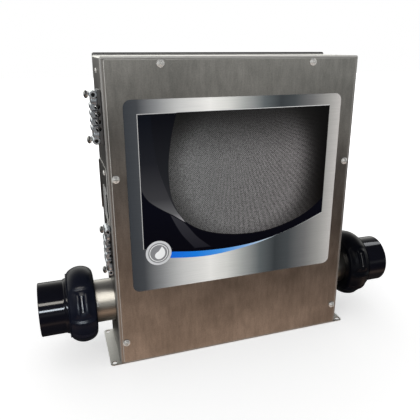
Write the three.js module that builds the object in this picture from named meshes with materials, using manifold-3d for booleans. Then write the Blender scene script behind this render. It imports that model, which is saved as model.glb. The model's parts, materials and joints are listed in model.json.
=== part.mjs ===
// Control pack with a flow-through heater: a stainless box, a heater tube through its foot
// with a pipe union at each end, two cord clamps on the left wall and the boards inside.
// Millimetres. +X right, -Y front, +Z up. Origin at the middle of the underside of the base.
import * as THREE from 'three';
import { mergeVertices } from 'three/addons/utils/BufferGeometryUtils.js';
import Module from 'manifold-3d';

const wasm = await Module();
wasm.setup();

// ---------- driving dimensions ----------
const GAP = 0.3; // air between neighbouring pieces

const BOX_HALF_W = 164;
const BOX_TOP = 394;
const BACK_LIP = 3; // the back panel stands this far above the shell
const BOX_BACK = 44.8;
const CHASSIS_FRONT = -43.4;
const SHEET = 1.2;

const BASE_T = 1.5;
const FOOT_HALF_W = 177;
const FOOT_STEP = 0.2; // the flanges are pressed thinner than the floor of the box
const FOOT_HALF_D = 44;
const FOOT_HOLE_R = 3;
const FOOT_HOLES = [[-171.7, -38.9], [-171.7, 38.9], [171.7, -38.9], [171.7, 38.9]];

const RETURN_W = 14; // width of the front return flange
const COVER_HALF_W = 160;
const COVER_Z = [2, 391];
const COVER_Y = [-44.9, -43.7];
const COVER_SCREWS = [[-97, 386.5], [97, 386.5], [-155, 256], [155, 256], [-155, 32.5], [155, 32.5]];
const LABEL_HALF_W = 142;
const LABEL_Z = [105, 347.3];
const LABEL_R = 9;

const TUBE_Y = 3.35;
const TUBE_Z = 74.7;
const TUBE_R = 28.575; // 2 1/4 inch tube
const TUBE_BORE = 27.1;
const TUBE_END = 193.5;
const FLANGE_R = 35.5;
const FLANGE_T = 3.3;
const ELEMENT_X = 120;
const ELEMENT_R = 4;
const COIL_R = 16;
const COIL_HALF = 102;
const COIL_TURNS = 6;
const SENSOR_X = 60;
const SADDLE_X = 140;

const NUT_IN = 188.2;
const NUT_OUT = 223.7;
const NUT_R = 50;
const NUT_ROUND = 12;
const NUT_BORE = 37.3;
const COLLAR_R = 37;
const TAIL_R = 35.15; // outside of a 2 inch slip socket
const TAIL_END = 259.2;
const SOCKET_R = 30.2; // takes 60.3 mm pipe
const SOCKET_STOP = 213;

const PCB = { x: 130, y0: 24.1, y1: 25.7, z0: 138, z1: 352 };
const ON_BOARD = PCB.y0 - GAP; // back face of everything that sits on the board

const CLAMP_Y = [-36, -12];
const CLAMP_MID_Y = -24;
const UPPER = { mid: 327, half: 26, base: 4, barIn: 168.6, barOut: 178.3, ringX: 174.2, ringR: 4.3 };
const LOWER = { mid: 160.3, half: 27.5, base: 0.8, barIn: 165.4, barOut: 171.4, ringX: 169.1, ringR: 3.5 };
UPPER.channels = { pitch: 8.2, r: 3.1, x: 172.1 };
LOWER.channels = { pitch: 9.1, r: 2.2, x: 167.2 };
const SCREW_HEAD_T = 3.6;

// ---------- solid helpers ----------
function solid(geometry) {
  const g = geometry.clone();
  g.deleteAttribute('normal');
  g.deleteAttribute('uv');
  const m = mergeVertices(g, 1e-4);
  const index = m.index.array;
  return new wasm.Manifold(new wasm.Mesh({
    numProp: 3,
    vertProperties: new Float32Array(m.attributes.position.array),
    triVerts: new Uint32Array(index),
  }));
}

function block(x0, x1, y0, y1, z0, z1) {
  const g = new THREE.BoxGeometry(x1 - x0, y1 - y0, z1 - z0);
  g.translate((x0 + x1) / 2, (y0 + y1) / 2, (z0 + z1) / 2);
  return solid(g);
}

// profile points are [distance along the axis, radius], a closed ring that leaves the axis out,
// or an open run that starts and ends on the axis
function turned(axis, points, segments) {
  const onAxis = points[0][1] === 0;
  const ring = onAxis ? points : [...points, points[0]];
  const g = new THREE.LatheGeometry(ring.map(([t, r]) => new THREE.Vector2(r, t)), segments);
  if (axis === 'x') {
    g.rotateZ(-Math.PI / 2);
  }
  if (axis === 'z') {
    g.rotateX(Math.PI / 2);
  }
  const s = solid(g);
  return s.volume() < 0 ? solid(flipped(g)) : s;
}

function flipped(geometry) {
  const g = geometry.clone();
  const a = g.index.array;
  for (let i = 0; i < a.length; i += 3) {
    [a[i], a[i + 1]] = [a[i + 1], a[i]];
  }
  return g;
}

function rod(axis, r, t0, t1, segments = 16) {
  return turned(axis, [[t0, 0], [t0, r], [t1, r], [t1, 0]], segments);
}

// flat outline extruded: plane 'xz' extrudes along +y, 'yz' along +x, 'xy' along +z
function plate(shape, plane, from, to, curveSegments = 6) {
  const g = new THREE.ExtrudeGeometry(shape, { depth: to - from, bevelEnabled: false, curveSegments });
  if (plane === 'xz') {
    g.rotateX(Math.PI / 2);
    g.translate(0, to, 0);
  } else if (plane === 'yz') {
    g.rotateX(Math.PI / 2);
    g.rotateZ(Math.PI / 2);
    g.translate(from, 0, 0);
  } else {
    g.translate(0, 0, from);
  }
  return solid(g);
}

function roundedRect(x0, x1, y0, y1, r) {
  const s = new THREE.Shape();
  s.moveTo(x0 + r, y0);
  s.lineTo(x1 - r, y0);
  s.absarc(x1 - r, y0 + r, r, -Math.PI / 2, 0);
  s.lineTo(x1, y1 - r);
  s.absarc(x1 - r, y1 - r, r, 0, Math.PI / 2);
  s.lineTo(x0 + r, y1);
  s.absarc(x0 + r, y1 - r, r, Math.PI / 2, Math.PI);
  s.lineTo(x0, y0 + r);
  s.absarc(x0 + r, y0 + r, r, Math.PI, 1.5 * Math.PI);
  return s;
}

function polygon(points) {
  return new THREE.Shape(points.map(([a, b]) => new THREE.Vector2(a, b)));
}

// round bar of n sides swept along points
function sweep(points, r, sides, steps) {
  const path = new THREE.CatmullRomCurve3(points.map((p) => new THREE.Vector3(...p)), false, 'centripetal');
  const section = new THREE.Shape();
  for (let i = 0; i < sides; i += 1) {
    const a = (2 * Math.PI * i) / sides;
    section[i === 0 ? 'moveTo' : 'lineTo'](r * Math.cos(a), r * Math.sin(a));
  }
  return solid(new THREE.ExtrudeGeometry(section, { steps, bevelEnabled: false, extrudePath: path }));
}

function hexagon(r, cx = 0, cy = 0) {
  const pts = [];
  for (let i = 0; i < 6; i += 1) {
    pts.push([cx + r * Math.cos((i * Math.PI) / 3), cy + r * Math.sin((i * Math.PI) / 3)]);
  }
  return polygon(pts);
}

const onTube = (s) => s.translate(0, TUBE_Y, TUBE_Z);
const flipX = (s) => s.mirror([1, 0, 0]);

// ---------- node collection ----------
const group = new THREE.Group();
group.name = 'spa_control_pack';

const LOOKS = {
  stainless: [0xb9b6b0, 0.35, 0.95],
  zinc: [0x9aa0a3, 0.4, 0.9],
  steel: [0xc4c4c2, 0.3, 0.9],
  black_gloss: [0x0c0c10, 0.18, 0],
  black_matte: [0x14161d, 0.55, 0],
  rubber: [0x101010, 0.8, 0],
  label: [0x8f969c, 0.35, 0.2],
  board: [0x1f5a34, 0.5, 0],
  copper: [0xb87333, 0.3, 0.9],
  brass: [0xc2a14d, 0.35, 0.9],
  white: [0xe8e6de, 0.5, 0],
  winding: [0x7c4a22, 0.5, 0.2],
  red: [0xa01c1c, 0.5, 0],
};

function node(name, look, s) {
  const mesh = s.getMesh();
  const g = new THREE.BufferGeometry();
  g.setAttribute('position', new THREE.BufferAttribute(new Float32Array(mesh.vertProperties), 3));
  g.setIndex(new THREE.BufferAttribute(new Uint32Array(mesh.triVerts), 1));
  g.computeVertexNormals();
  const [color, roughness, metalness] = LOOKS[look];
  const m = new THREE.Mesh(g, new THREE.MeshStandardMaterial({ color, roughness, metalness }));
  m.name = name;
  group.add(m);
}

// ---------- enclosure ----------
function basePlate() {
  let s = plate(roundedRect(-FOOT_HALF_W, FOOT_HALF_W, -FOOT_HALF_D, FOOT_HALF_D, 4), 'xy', 0, BASE_T, 4);
  for (const side of [-1, 1]) {
    const x = side * (BOX_HALF_W + 1 + 20);
    s = s.subtract(block(x - 20, x + 20, -60, 60, BASE_T - FOOT_STEP, 5));
  }
  const lipX = BOX_HALF_W - SHEET - GAP;
  s = s.add(block(-lipX, -lipX + SHEET, -40, 40, BASE_T - 0.5, 14));
  s = s.add(block(lipX - SHEET, lipX, -40, 40, BASE_T - 0.5, 14));
  s = s.add(block(-148, 148, CHASSIS_FRONT, CHASSIS_FRONT + SHEET, BASE_T - 0.5, 12));
  for (const [x, y] of FOOT_HOLES) {
    s = s.subtract(rod('z', FOOT_HOLE_R, -1, 3, 12).translate(x, y, 0));
  }
  return s;
}

function wrapShell() {
  const z0 = BASE_T + GAP;
  const inner = BOX_HALF_W - SHEET;
  const back = BOX_BACK - SHEET - GAP;
  const outline = roundedRect(-BOX_HALF_W, BOX_HALF_W, z0 - 20, BOX_TOP, 2);
  let s = plate(outline, 'xz', CHASSIS_FRONT, back, 3);
  s = s.subtract(block(-inner, inner, CHASSIS_FRONT + SHEET, back + 1, z0 - 30, BOX_TOP - SHEET));
  const open = BOX_HALF_W - RETURN_W;
  s = s.subtract(block(-open, open, CHASSIS_FRONT - 1, CHASSIS_FRONT + 3, z0 - 30, BOX_TOP - RETURN_W));
  s = s.subtract(block(-200, 200, -60, 60, -40, z0));
  s = s.subtract(onTube(rod('x', 31, -200, 200, 28)));
  for (const [x, z] of COVER_SCREWS) {
    s = s.subtract(rod('y', 2.3, -50, -40, 8).translate(x, 0, z));
  }
  for (const c of [UPPER, LOWER]) {
    s = s.subtract(plate(roundedRect(-4, 26, c.mid - 22, c.mid + 22, 5), 'yz', -170, -150, 3));
    for (const side of [-1, 1]) {
      const hole = rod('x', 2.4, -170, -150, 8);
      s = s.subtract(hole.translate(0, CLAMP_MID_Y, c.mid + side * c.half));
    }
  }
  return s;
}

function backPanel() {
  const outline = roundedRect(-BOX_HALF_W, BOX_HALF_W, BASE_T + GAP, BOX_TOP + BACK_LIP, 2);
  return plate(outline, 'xz', BOX_BACK - SHEET, BOX_BACK, 3);
}

function frontCover() {
  const outline = roundedRect(-COVER_HALF_W, COVER_HALF_W, COVER_Z[0], COVER_Z[1], 2);
  let s = plate(outline, 'xz', COVER_Y[0], COVER_Y[1], 3);
  for (const [x, z] of COVER_SCREWS) {
    s = s.subtract(rod('y', 2.3, -50, -40, 8).translate(x, 0, z));
  }
  return s;
}

function frontLabel() {
  const outline = roundedRect(-LABEL_HALF_W, LABEL_HALF_W, LABEL_Z[0], LABEL_Z[1], LABEL_R);
  const back = COVER_Y[0] - GAP;
  return plate(outline, 'xz', back - 0.3, back, 4);
}

function coverScrew(x, z) {
  const seat = COVER_Y[0] - GAP;
  const s = turned('y', [
    [seat - 3.2, 0], [seat - 2.8, 2.4], [seat - 0.8, 3.8], [seat - 0.7, 4.9],
    [seat, 4.9], [seat, 1.9], [-36, 1.9], [-36, 0],
  ], 10);
  return s.translate(x, 0, z);
}

function sideRivet(y, z, standoff) {
  const x = -BOX_HALF_W - standoff;
  const s = turned('x', [[x - 1.8, 0], [x - 1.4, 1.9], [x - 0.4, 3.2], [x, 3.2], [x, 0]], 12);
  return s.translate(0, y, z);
}

function sidePlate() {
  const outline = roundedRect(-40, 32, 196.5, 268, 3);
  outline.holes.push(roundedRect(-27, -22.5, 210, 233, 2.1));
  return plate(outline, 'yz', -BOX_HALF_W - GAP - 1, -BOX_HALF_W - GAP, 4);
}

// ---------- heater ----------
function heaterTube() {
  const profile = [[-TUBE_END, TUBE_BORE], [-TUBE_END, TUBE_R], [TUBE_END, TUBE_R], [TUBE_END, TUBE_BORE]];
  let s = turned('x', profile, 32);
  for (const side of [-1, 1]) {
    s = s.subtract(rod('z', 5.8, 0, 50, 16).translate(side * ELEMENT_X, 0, 0));
    s = s.subtract(rod('z', 4.2, 0, 50, 12).translate(side * SENSOR_X, 0, 0));
  }
  return onTube(s);
}

function heaterFlange() {
  const r = TUBE_R + GAP;
  const x = TUBE_END - FLANGE_T;
  return onTube(turned('x', [[x, r], [x, FLANGE_R], [TUBE_END, FLANGE_R], [TUBE_END, r]], 32));
}

function heatingElement() {
  const pts = [];
  for (const h of [45, 30, 18]) {
    pts.push([ELEMENT_X, 0, h]);
  }
  pts.push([ELEMENT_X - 4, 0, 8]);
  const steps = COIL_TURNS * 8;
  for (let i = 0; i <= steps; i += 1) {
    const a = -Math.PI / 4 - (2 * Math.PI * COIL_TURNS - Math.PI / 2) * (i / steps);
    const x = COIL_HALF * (1 - (2 * i) / steps);
    pts.push([x, COIL_R * Math.cos(a + Math.PI / 2), COIL_R * Math.sin(a + Math.PI / 2)]);
  }
  pts.push([-ELEMENT_X + 4, 0, 8]);
  for (const h of [18, 30, 45]) {
    pts.push([-ELEMENT_X, 0, h]);
  }
  return onTube(sweep(pts, ELEMENT_R, 6, 96));
}

function elementGland(side) {
  const hex = plate(hexagon(9.5), 'xy', 29.4, 37.2, 1);
  let s = rod('z', 5.5, 25, 30, 16).add(hex);
  s = s.subtract(rod('z', ELEMENT_R + 0.35, 0, 60, 16));
  return onTube(s.translate(side * ELEMENT_X, 0, 0));
}

function elementTerminal(side) {
  let s = rod('z', 2.4, 45.3, 57, 10).add(rod('z', 5, 45.3, 46.6, 12));
  s = s.add(plate(hexagon(5.2), 'xy', 48.4, 52, 1));
  return onTube(s.translate(side * ELEMENT_X, 0, 0));
}

function busStrap(side) {
  const z = TUBE_Z + 46.9;
  const x = side * ELEMENT_X;
  let s = block(x - 6, x + 6, TUBE_Y - 7, ON_BOARD - GAP, z, z + SHEET);
  s = s.add(block(x - 6, x + 6, ON_BOARD - GAP - SHEET, ON_BOARD - GAP, z, z + 32));
  return s.subtract(rod('z', 2.8, z - 5, z + 5, 12).translate(x, TUBE_Y, 0));
}

// probe, moulded lead and plug are one piece
function sensorProbe(side) {
  let s = rod('z', 3.6, 8, 30, 12).add(plate(hexagon(7), 'xy', 29, 35, 1));
  s = s.add(rod('z', 3, 34, 38, 12));
  s = onTube(s.translate(side * SENSOR_X, 0, 0));
  const pts = [
    [SENSOR_X, TUBE_Y, TUBE_Z + 37], [SENSOR_X, TUBE_Y, TUBE_Z + 48], [SENSOR_X - 4, 6, TUBE_Z + 58],
    [SENSOR_X - 12, 15, TUBE_Z + 70], [SENSOR_X - 15, 19, TUBE_Z + 74],
  ];
  s = s.add(sweep(pts.map(([x, y, z]) => [side * x, y, z]), 1.3, 6, 14));
  const x = side * (SENSOR_X - 15);
  return s.add(block(x - 5, x + 5, 16.5, ON_BOARD, TUBE_Z + 73, TUBE_Z + 82));
}

function tubeSaddle(side) {
  const x = side * SADDLE_X;
  const r = TUBE_R + GAP;
  let s = block(x - 12, x + 12, TUBE_Y - 30, TUBE_Y + 30, BASE_T + GAP, 4);
  s = s.add(block(x - 1.5, x + 1.5, TUBE_Y - 33, TUBE_Y + 33, 3, TUBE_Z - 4));
  s = s.add(block(x - 6, x + 6, TUBE_Y - 39.5, TUBE_Y + 39.5, TUBE_Z - 4, TUBE_Z - 1.7));
  s = s.subtract(rod('x', r, x - 20, x + 20, 28).translate(0, TUBE_Y, TUBE_Z));
  return s;
}

function tubeStrap(side) {
  const x = side * SADDLE_X;
  const r = TUBE_R + GAP;
  let s = rod('x', r + SHEET, x - 6, x + 6, 28);
  s = s.add(block(x - 6, x + 6, -39.5, 39.5, -1.4, -0.2));
  s = s.subtract(rod('x', r, x - 20, x + 20, 28));
  s = s.subtract(block(x - 20, x + 20, -50, 50, -60, -1.4));
  for (const end of [-1, 1]) {
    s = s.add(plate(hexagon(3.6, x, end * 35), 'xy', -0.4, 2.4, 1));
  }
  return onTube(s);
}

// ---------- pipe unions, drawn on the right ----------
function tailpiece() {
  return onTube(turned('x', [
    [194, 26], [194, 29.2], [196.9, 29.2], [196.9, 33.2], [194, 33.2], [194, COLLAR_R],
    [224.3, COLLAR_R], [228, TAIL_R], [TAIL_END - 1, TAIL_R], [TAIL_END, TAIL_R - 1],
    [TAIL_END, SOCKET_R], [SOCKET_STOP, SOCKET_R - 0.2], [SOCKET_STOP, 26],
  ], 32));
}

function unionRing() {
  const pts = [];
  for (let i = 0; i < 6; i += 1) {
    const a = (2 * Math.PI * i) / 6;
    pts.push([195.3 + 1.3 * Math.cos(a), 31.2 + 1.3 * Math.sin(a)]);
  }
  return onTube(turned('x', pts, 24));
}

function unionNut() {
  const pts = [[NUT_IN, TUBE_R + 0.45], [NUT_IN, NUT_R - 6]];
  for (const a of [45, 90]) {
    const t = (a * Math.PI) / 180;
    pts.push([NUT_IN + 6 - 6 * Math.cos(t), NUT_R - 6 + 6 * Math.sin(t)]);
  }
  for (const a of [90, 60, 30, 0]) {
    const t = (a * Math.PI) / 180;
    pts.push([NUT_OUT - NUT_ROUND + NUT_ROUND * Math.cos(t), NUT_R - NUT_ROUND + NUT_ROUND * Math.sin(t)]);
  }
  pts.push([NUT_OUT, NUT_BORE], [NUT_IN + 1.7, NUT_BORE], [NUT_IN + 1.7, TUBE_R + 0.45]);
  let s = turned('x', pts, 30);
  for (let i = 0; i < 10; i += 1) {
    const groove = block(180, 230, -2.4, 2.4, NUT_R - 2.6, NUT_R + 6);
    s = s.subtract(groove.rotate([18 + i * 36, 0, 0]));
  }
  return s;
}

function nutHalf(front) {
  const cut = front ? block(180, 230, -60, -GAP / 2, -60, 60) : block(180, 230, GAP / 2, 60, -60, 60);
  return onTube(unionNut().rotate([8, 0, 0]).intersect(cut));
}

// ---------- electronics ----------
function mainBoard() {
  let s = block(-PCB.x, PCB.x, PCB.y0, PCB.y1, PCB.z0, PCB.z1);
  for (const [x, z] of STANDOFFS) {
    s = s.subtract(rod('y', 2, 20, 30, 10).translate(x, 0, z));
  }
  return s;
}

const STANDOFFS = [[-124, 160], [124, 160], [-124, 346], [124, 346]];

function standoff(x, z) {
  const s = turned('y', [[PCB.y1 + GAP, 0], [PCB.y1 + GAP, 3.4], [BOX_BACK - SHEET - GAP, 3.4],
    [BOX_BACK - SHEET - GAP, 0]], 8);
  return s.translate(x, 0, z);
}

function transformer() {
  const core = block(-108, -50, -4, ON_BOARD - 6, 168, 216);
  const coil = block(-98, -60, -18, ON_BOARD, 174, 210);
  return core.add(coil);
}

function relay(i) {
  const x = 4 + i * 36;
  return block(x, x + 28, 2, ON_BOARD, 172, 204);
}

function terminalBlock() {
  let s = block(-122, -100, 8, ON_BOARD, 262, 334);
  for (let i = 0; i < 5; i += 1) {
    s = s.add(block(-122, -100, 3, 9, 262 + i * 17.5, 264 + i * 17.5));
  }
  return s;
}

function fuseBlock() {
  const s = block(-86, -44, 16, ON_BOARD, 300, 316);
  return s.add(rod('x', 5, -82, -48, 12).translate(0, 12, 308));
}

function supplyLead(i) {
  const z = 272 + i * 17.5;
  const x = 18 + i * 36;
  return sweep([
    [-99.6, 6, z], [-86, 0, z], [-60, -8, z - 6], [-20, -12, z - 14], [x - 12, -10, z - 26],
    [x, 0, 236], [x, 10, 216], [x, 12, 204.4],
  ], 1.7, 6, 24);
}

// ---------- cord clamps ----------
function clampBase(c) {
  const x1 = -BOX_HALF_W - GAP;
  const ends = [c.mid - c.half - 5, c.mid + c.half + 5];
  let s = plate(roundedRect(CLAMP_Y[0], CLAMP_Y[1], ends[0], ends[1], 3), 'yz', x1 - c.base, x1, 3);
  for (const side of [-1, 1]) {
    s = s.subtract(rod('x', 2.4, -190, -150, 8).translate(0, CLAMP_MID_Y, c.mid + side * c.half));
  }
  return s;
}

function clampBar(c) {
  const reach = c.half - 2;
  let s = block(-c.barOut, -c.barIn, CLAMP_Y[0], CLAMP_Y[1], c.mid - reach, c.mid + reach);
  for (const side of [-1, 1]) {
    const z = c.mid + side * c.half;
    s = s.add(rod('y', c.ringR, CLAMP_Y[0] - 0.6, CLAMP_Y[1] + 0.6, 12).translate(-c.ringX, 0, z));
    s = s.add(block(-c.ringX, -c.barIn, CLAMP_Y[0], CLAMP_Y[1], z - 2.6, z + 2.6));
  }
  for (const side of [-1, 1]) {
    const z = c.mid + side * c.half;
    s = s.subtract(rod('y', c.ringR / 2, -60, 20, 10).translate(-c.ringX, 0, z));
    s = s.subtract(rod('x', 2.2, -200, -150, 10).translate(0, CLAMP_MID_Y, z));
  }
  const ch = c.channels;
  for (let i = 0; i < 4; i += 1) {
    const z = c.mid + (i - 1.5) * ch.pitch;
    s = s.subtract(rod('y', ch.r, -60, 20, 8).translate(-ch.x, 0, z));
    s = s.subtract(block(-ch.x, -c.barIn + 1, -60, 20, z - ch.r, z + ch.r));
  }
  return s;
}

function clampScrew(c, side) {
  const x = -c.ringX - c.ringR - GAP;
  const s = turned('x', [
    [x - SCREW_HEAD_T, 0], [x - SCREW_HEAD_T + 0.5, 3], [x - SCREW_HEAD_T + 1.6, 4.4],
    [x, 4.6], [x, 1.9], [-BOX_HALF_W + 6, 1.9], [-BOX_HALF_W + 6, 0],
  ], 10);
  return s.translate(0, CLAMP_MID_Y, c.mid + side * c.half);
}

// ---------- assemble ----------
node('base_plate', 'stainless', basePlate());
node('wrap_shell', 'stainless', wrapShell());
node('back_panel', 'stainless', backPanel());
node('front_cover', 'stainless', frontCover());
node('front_label', 'label', frontLabel());
COVER_SCREWS.forEach(([x, z], i) => node(`cover_screw_${i + 1}`, 'steel', coverScrew(x, z)));
node('side_plate', 'stainless', sidePlate());
node('side_rivet_upper', 'steel', sideRivet(-8, 378, GAP));
node('side_rivet_lower', 'steel', sideRivet(-28, 261, 2 * GAP + 1));

node('heater_tube', 'stainless', heaterTube());
node('heating_element', 'steel', heatingElement());
for (const [tag, side] of [['left', -1], ['right', 1]]) {
  node(`element_gland_${tag}`, 'brass', elementGland(side));
  node(`element_terminal_${tag}`, 'brass', elementTerminal(side));
  node(`bus_strap_${tag}`, 'copper', busStrap(side));
  node(`sensor_probe_${tag}`, 'steel', sensorProbe(side));
  node(`tube_saddle_${tag}`, 'stainless', tubeSaddle(side));
  node(`tube_strap_${tag}`, 'steel', tubeStrap(side));
  const place = side < 0 ? flipX : (s) => s;
  node(`heater_flange_${tag}`, 'stainless', place(heaterFlange()));
  node(`tailpiece_${tag}`, 'black_gloss', place(tailpiece()));
  node(`union_ring_${tag}`, 'rubber', place(unionRing()));
  node(`union_nut_${tag}_front`, 'black_matte', place(nutHalf(true)));
  node(`union_nut_${tag}_back`, 'black_matte', place(nutHalf(false)));
}

node('main_board', 'board', mainBoard());
STANDOFFS.forEach(([x, z], i) => node(`board_standoff_${i + 1}`, 'white', standoff(x, z)));
node('transformer', 'winding', transformer());
for (let i = 0; i < 3; i += 1) {
  node(`relay_${i + 1}`, 'black_gloss', relay(i));
}
node('terminal_block', 'white', terminalBlock());
node('fuse_block', 'black_matte', fuseBlock());
node('supply_lead_line', 'red', supplyLead(1));
node('supply_lead_neutral', 'white', supplyLead(0));

for (const [tag, c] of [['upper', UPPER], ['lower', LOWER]]) {
  node(`${tag}_clamp_base`, 'zinc', clampBase(c));
  node(`${tag}_clamp_bar`, 'zinc', clampBar(c));
  node(`${tag}_clamp_screw_top`, 'steel', clampScrew(c, 1));
  node(`${tag}_clamp_screw_bottom`, 'steel', clampScrew(c, -1));
}

export default group;
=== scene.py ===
"""The looks of a spa control pack: a stainless box on a heater tube with a union at each end.

Shapes are worked out in millimetres in the row frame and scaled to metres when a piece is made.
"""
import json
import math

import bmesh
import bpy
from mathutils import Matrix, Vector
from mathutils.geometry import interpolate_bezier

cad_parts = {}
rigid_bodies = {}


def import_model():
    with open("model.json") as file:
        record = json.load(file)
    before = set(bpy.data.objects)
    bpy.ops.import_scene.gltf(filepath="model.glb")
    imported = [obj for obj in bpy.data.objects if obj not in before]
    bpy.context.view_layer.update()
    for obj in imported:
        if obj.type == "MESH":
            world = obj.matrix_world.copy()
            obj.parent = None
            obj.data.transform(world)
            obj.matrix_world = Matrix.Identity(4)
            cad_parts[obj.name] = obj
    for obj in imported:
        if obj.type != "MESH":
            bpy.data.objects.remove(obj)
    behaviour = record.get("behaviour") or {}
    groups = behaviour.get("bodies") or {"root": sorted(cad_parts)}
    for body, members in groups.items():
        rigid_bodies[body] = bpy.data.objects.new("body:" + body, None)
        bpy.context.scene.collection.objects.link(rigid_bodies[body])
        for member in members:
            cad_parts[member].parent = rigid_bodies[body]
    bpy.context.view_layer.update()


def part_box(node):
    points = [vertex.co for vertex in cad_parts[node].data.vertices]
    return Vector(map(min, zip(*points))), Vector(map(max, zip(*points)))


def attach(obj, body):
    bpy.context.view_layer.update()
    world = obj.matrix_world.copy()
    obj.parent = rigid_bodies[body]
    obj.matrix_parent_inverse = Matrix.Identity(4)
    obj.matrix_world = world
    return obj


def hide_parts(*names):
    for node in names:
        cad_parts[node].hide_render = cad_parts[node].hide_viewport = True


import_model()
MM = 0.001
TURN = 2 * math.pi


def box(node):
    """Lowest and highest corners of a CAD node, in millimetres."""
    low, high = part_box(node)
    return low / MM, high / MM


def middle(node):
    low, high = box(node)
    return (low + high) / 2


TUBE_LOW, TUBE_HIGH = box("heater_tube")
TUBE_R = (TUBE_HIGH.z - TUBE_LOW.z) / 2
AXIS = Vector((0, (TUBE_LOW.y + TUBE_HIGH.y) / 2, (TUBE_LOW.z + TUBE_HIGH.z) / 2))
SHELL_LOW, SHELL_HIGH = box("wrap_shell")
SHEET = 1.2
GAP = 0.3


# ---------- camera, light and floor ----------
def make_camera():
    """The photo's viewpoint, worked out from the corners of the box."""
    yaw, pitch, roll = math.radians(-18.98), math.radians(-18.54), math.radians(0.15)
    data = bpy.data.cameras.new("camera")
    data.sensor_width = 36
    data.lens = 40.9
    data.shift_x = -0.0174
    data.shift_y = -0.0112
    camera = bpy.data.objects.new("camera", data)
    turn = Matrix.Rotation(yaw, 4, "Z") @ Matrix.Rotation(math.pi / 2 + pitch, 4, "X")
    place = Matrix.Translation((-0.2179, -0.5945, 0.4058))
    camera.matrix_world = place @ turn @ Matrix.Rotation(roll, 4, "Z")
    bpy.context.scene.collection.objects.link(camera)
    bpy.context.scene.camera = camera


def make_light(name, place, size, power, colour, lit=()):
    """A soft lamp. It may shine on some pieces only."""
    data = bpy.data.lights.new(name, "AREA")
    data.shape = "RECTANGLE"
    data.size, data.size_y = size
    data.energy = power
    data.color = colour
    light = bpy.data.objects.new(name, data)
    light.location = place
    aim = Vector((0, 0, 0.15)) - Vector(place)
    light.rotation_euler = aim.to_track_quat("-Z", "Y").to_euler()
    bpy.context.scene.collection.objects.link(light)
    if lit:
        only = bpy.data.collections.new(name + "_lit")
        for piece in lit:
            only.objects.link(piece)
        light.light_linking.receiver_collection = only


def make_world():
    """White where the camera looks past the object, an even fill, and a dim room for glossy surfaces."""
    world = bpy.data.worlds.new("studio")
    world.use_nodes = True
    tree = world.node_tree
    tree.nodes.clear()

    def node(kind, **inputs):
        made = tree.nodes.new("ShaderNode" + kind)
        for key, value in inputs.items():
            made.inputs[key.replace("_", " ")].default_value = value
        return made

    link = tree.links.new
    place, split, height = node("TexCoord"), node("SeparateXYZ"), node("MapRange", From_Min=-1)
    link(place.outputs["Generated"], split.inputs[0])
    link(split.outputs["Z"], height.inputs["Value"])
    room = []
    for stops in (FRONT_ROOM, BACK_ROOM):
        ramp = node("ValToRGB")
        fill_ramp(ramp.color_ramp, [((z + 1) / 2, colour) for z, colour in stops])
        link(height.outputs[0], ramp.inputs[0])
        room.append(ramp.outputs[0])
    behind, either = node("MapRange", From_Min=-0.25, From_Max=0.35), node("MixRGB")
    link(split.outputs["Y"], behind.inputs["Value"])
    link(behind.outputs[0], either.inputs[0])
    link(room[0], either.inputs[1])
    link(room[1], either.inputs[2])
    glossy, fill = node("Background"), node("Background", Color=(1, 1, 1, 1), Strength=0.6)
    white = node("Background", Color=(1, 1, 1, 1), Strength=1.0)
    path, lit, seen, out = node("LightPath"), node("MixShader"), node("MixShader"), node("OutputWorld")
    link(either.outputs[0], glossy.inputs["Color"])
    link(path.outputs["Is Glossy Ray"], lit.inputs[0])
    link(fill.outputs[0], lit.inputs[1])
    link(glossy.outputs[0], lit.inputs[2])
    link(path.outputs["Is Camera Ray"], seen.inputs[0])
    link(lit.outputs[0], seen.inputs[1])
    link(white.outputs[0], seen.inputs[2])
    link(seen.outputs[0], out.inputs[0])
    bpy.context.scene.world = world


# the room's colour by the height of the direction, from straight down (-1) to straight up (1)
FRONT_ROOM = [
    (-1.0, (0.06, 0.055, 0.05)), (-0.78, (0.2, 0.145, 0.11)), (-0.66, (1.1, 0.77, 0.575)),
    (-0.55, (0.21, 0.14, 0.102)), (-0.44, (0.066, 0.043, 0.032)), (-0.33, (0.028, 0.019, 0.015)),
    (-0.16, (0.03, 0.023, 0.02)), (-0.07, (0.26, 0.27, 0.262)), (0.0, (0.72, 0.75, 0.73)),
    (0.08, (0.48, 0.48, 0.47)), (0.18, (0.06, 0.06, 0.07)), (1.0, (0.08, 0.08, 0.09)),
]
BACK_ROOM = [
    (-1.0, (0.04, 0.036, 0.032)), (-0.3, (0.045, 0.045, 0.045)), (-0.04, (0.08, 0.08, 0.08)),
    (0.0, (0.4, 0.4, 0.385)), (0.06, (1.4, 1.4, 1.34)), (0.3, (1.5, 1.5, 1.42)), (0.5, (0.9, 0.89, 0.85)),
    (0.7, (0.3, 0.3, 0.3)), (1.0, (0.08, 0.08, 0.09)),
]


def fill_ramp(ramp, stops):
    ramp.interpolation = "LINEAR"
    while len(ramp.elements) < len(stops):
        ramp.elements.new(0.5)
    for element, (at, colour) in zip(ramp.elements, stops):
        element.position = at
        element.color = (*as_colour(colour), 1)


def as_colour(value):
    return tuple(value) if hasattr(value, "__len__") else (value, value, value)


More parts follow.
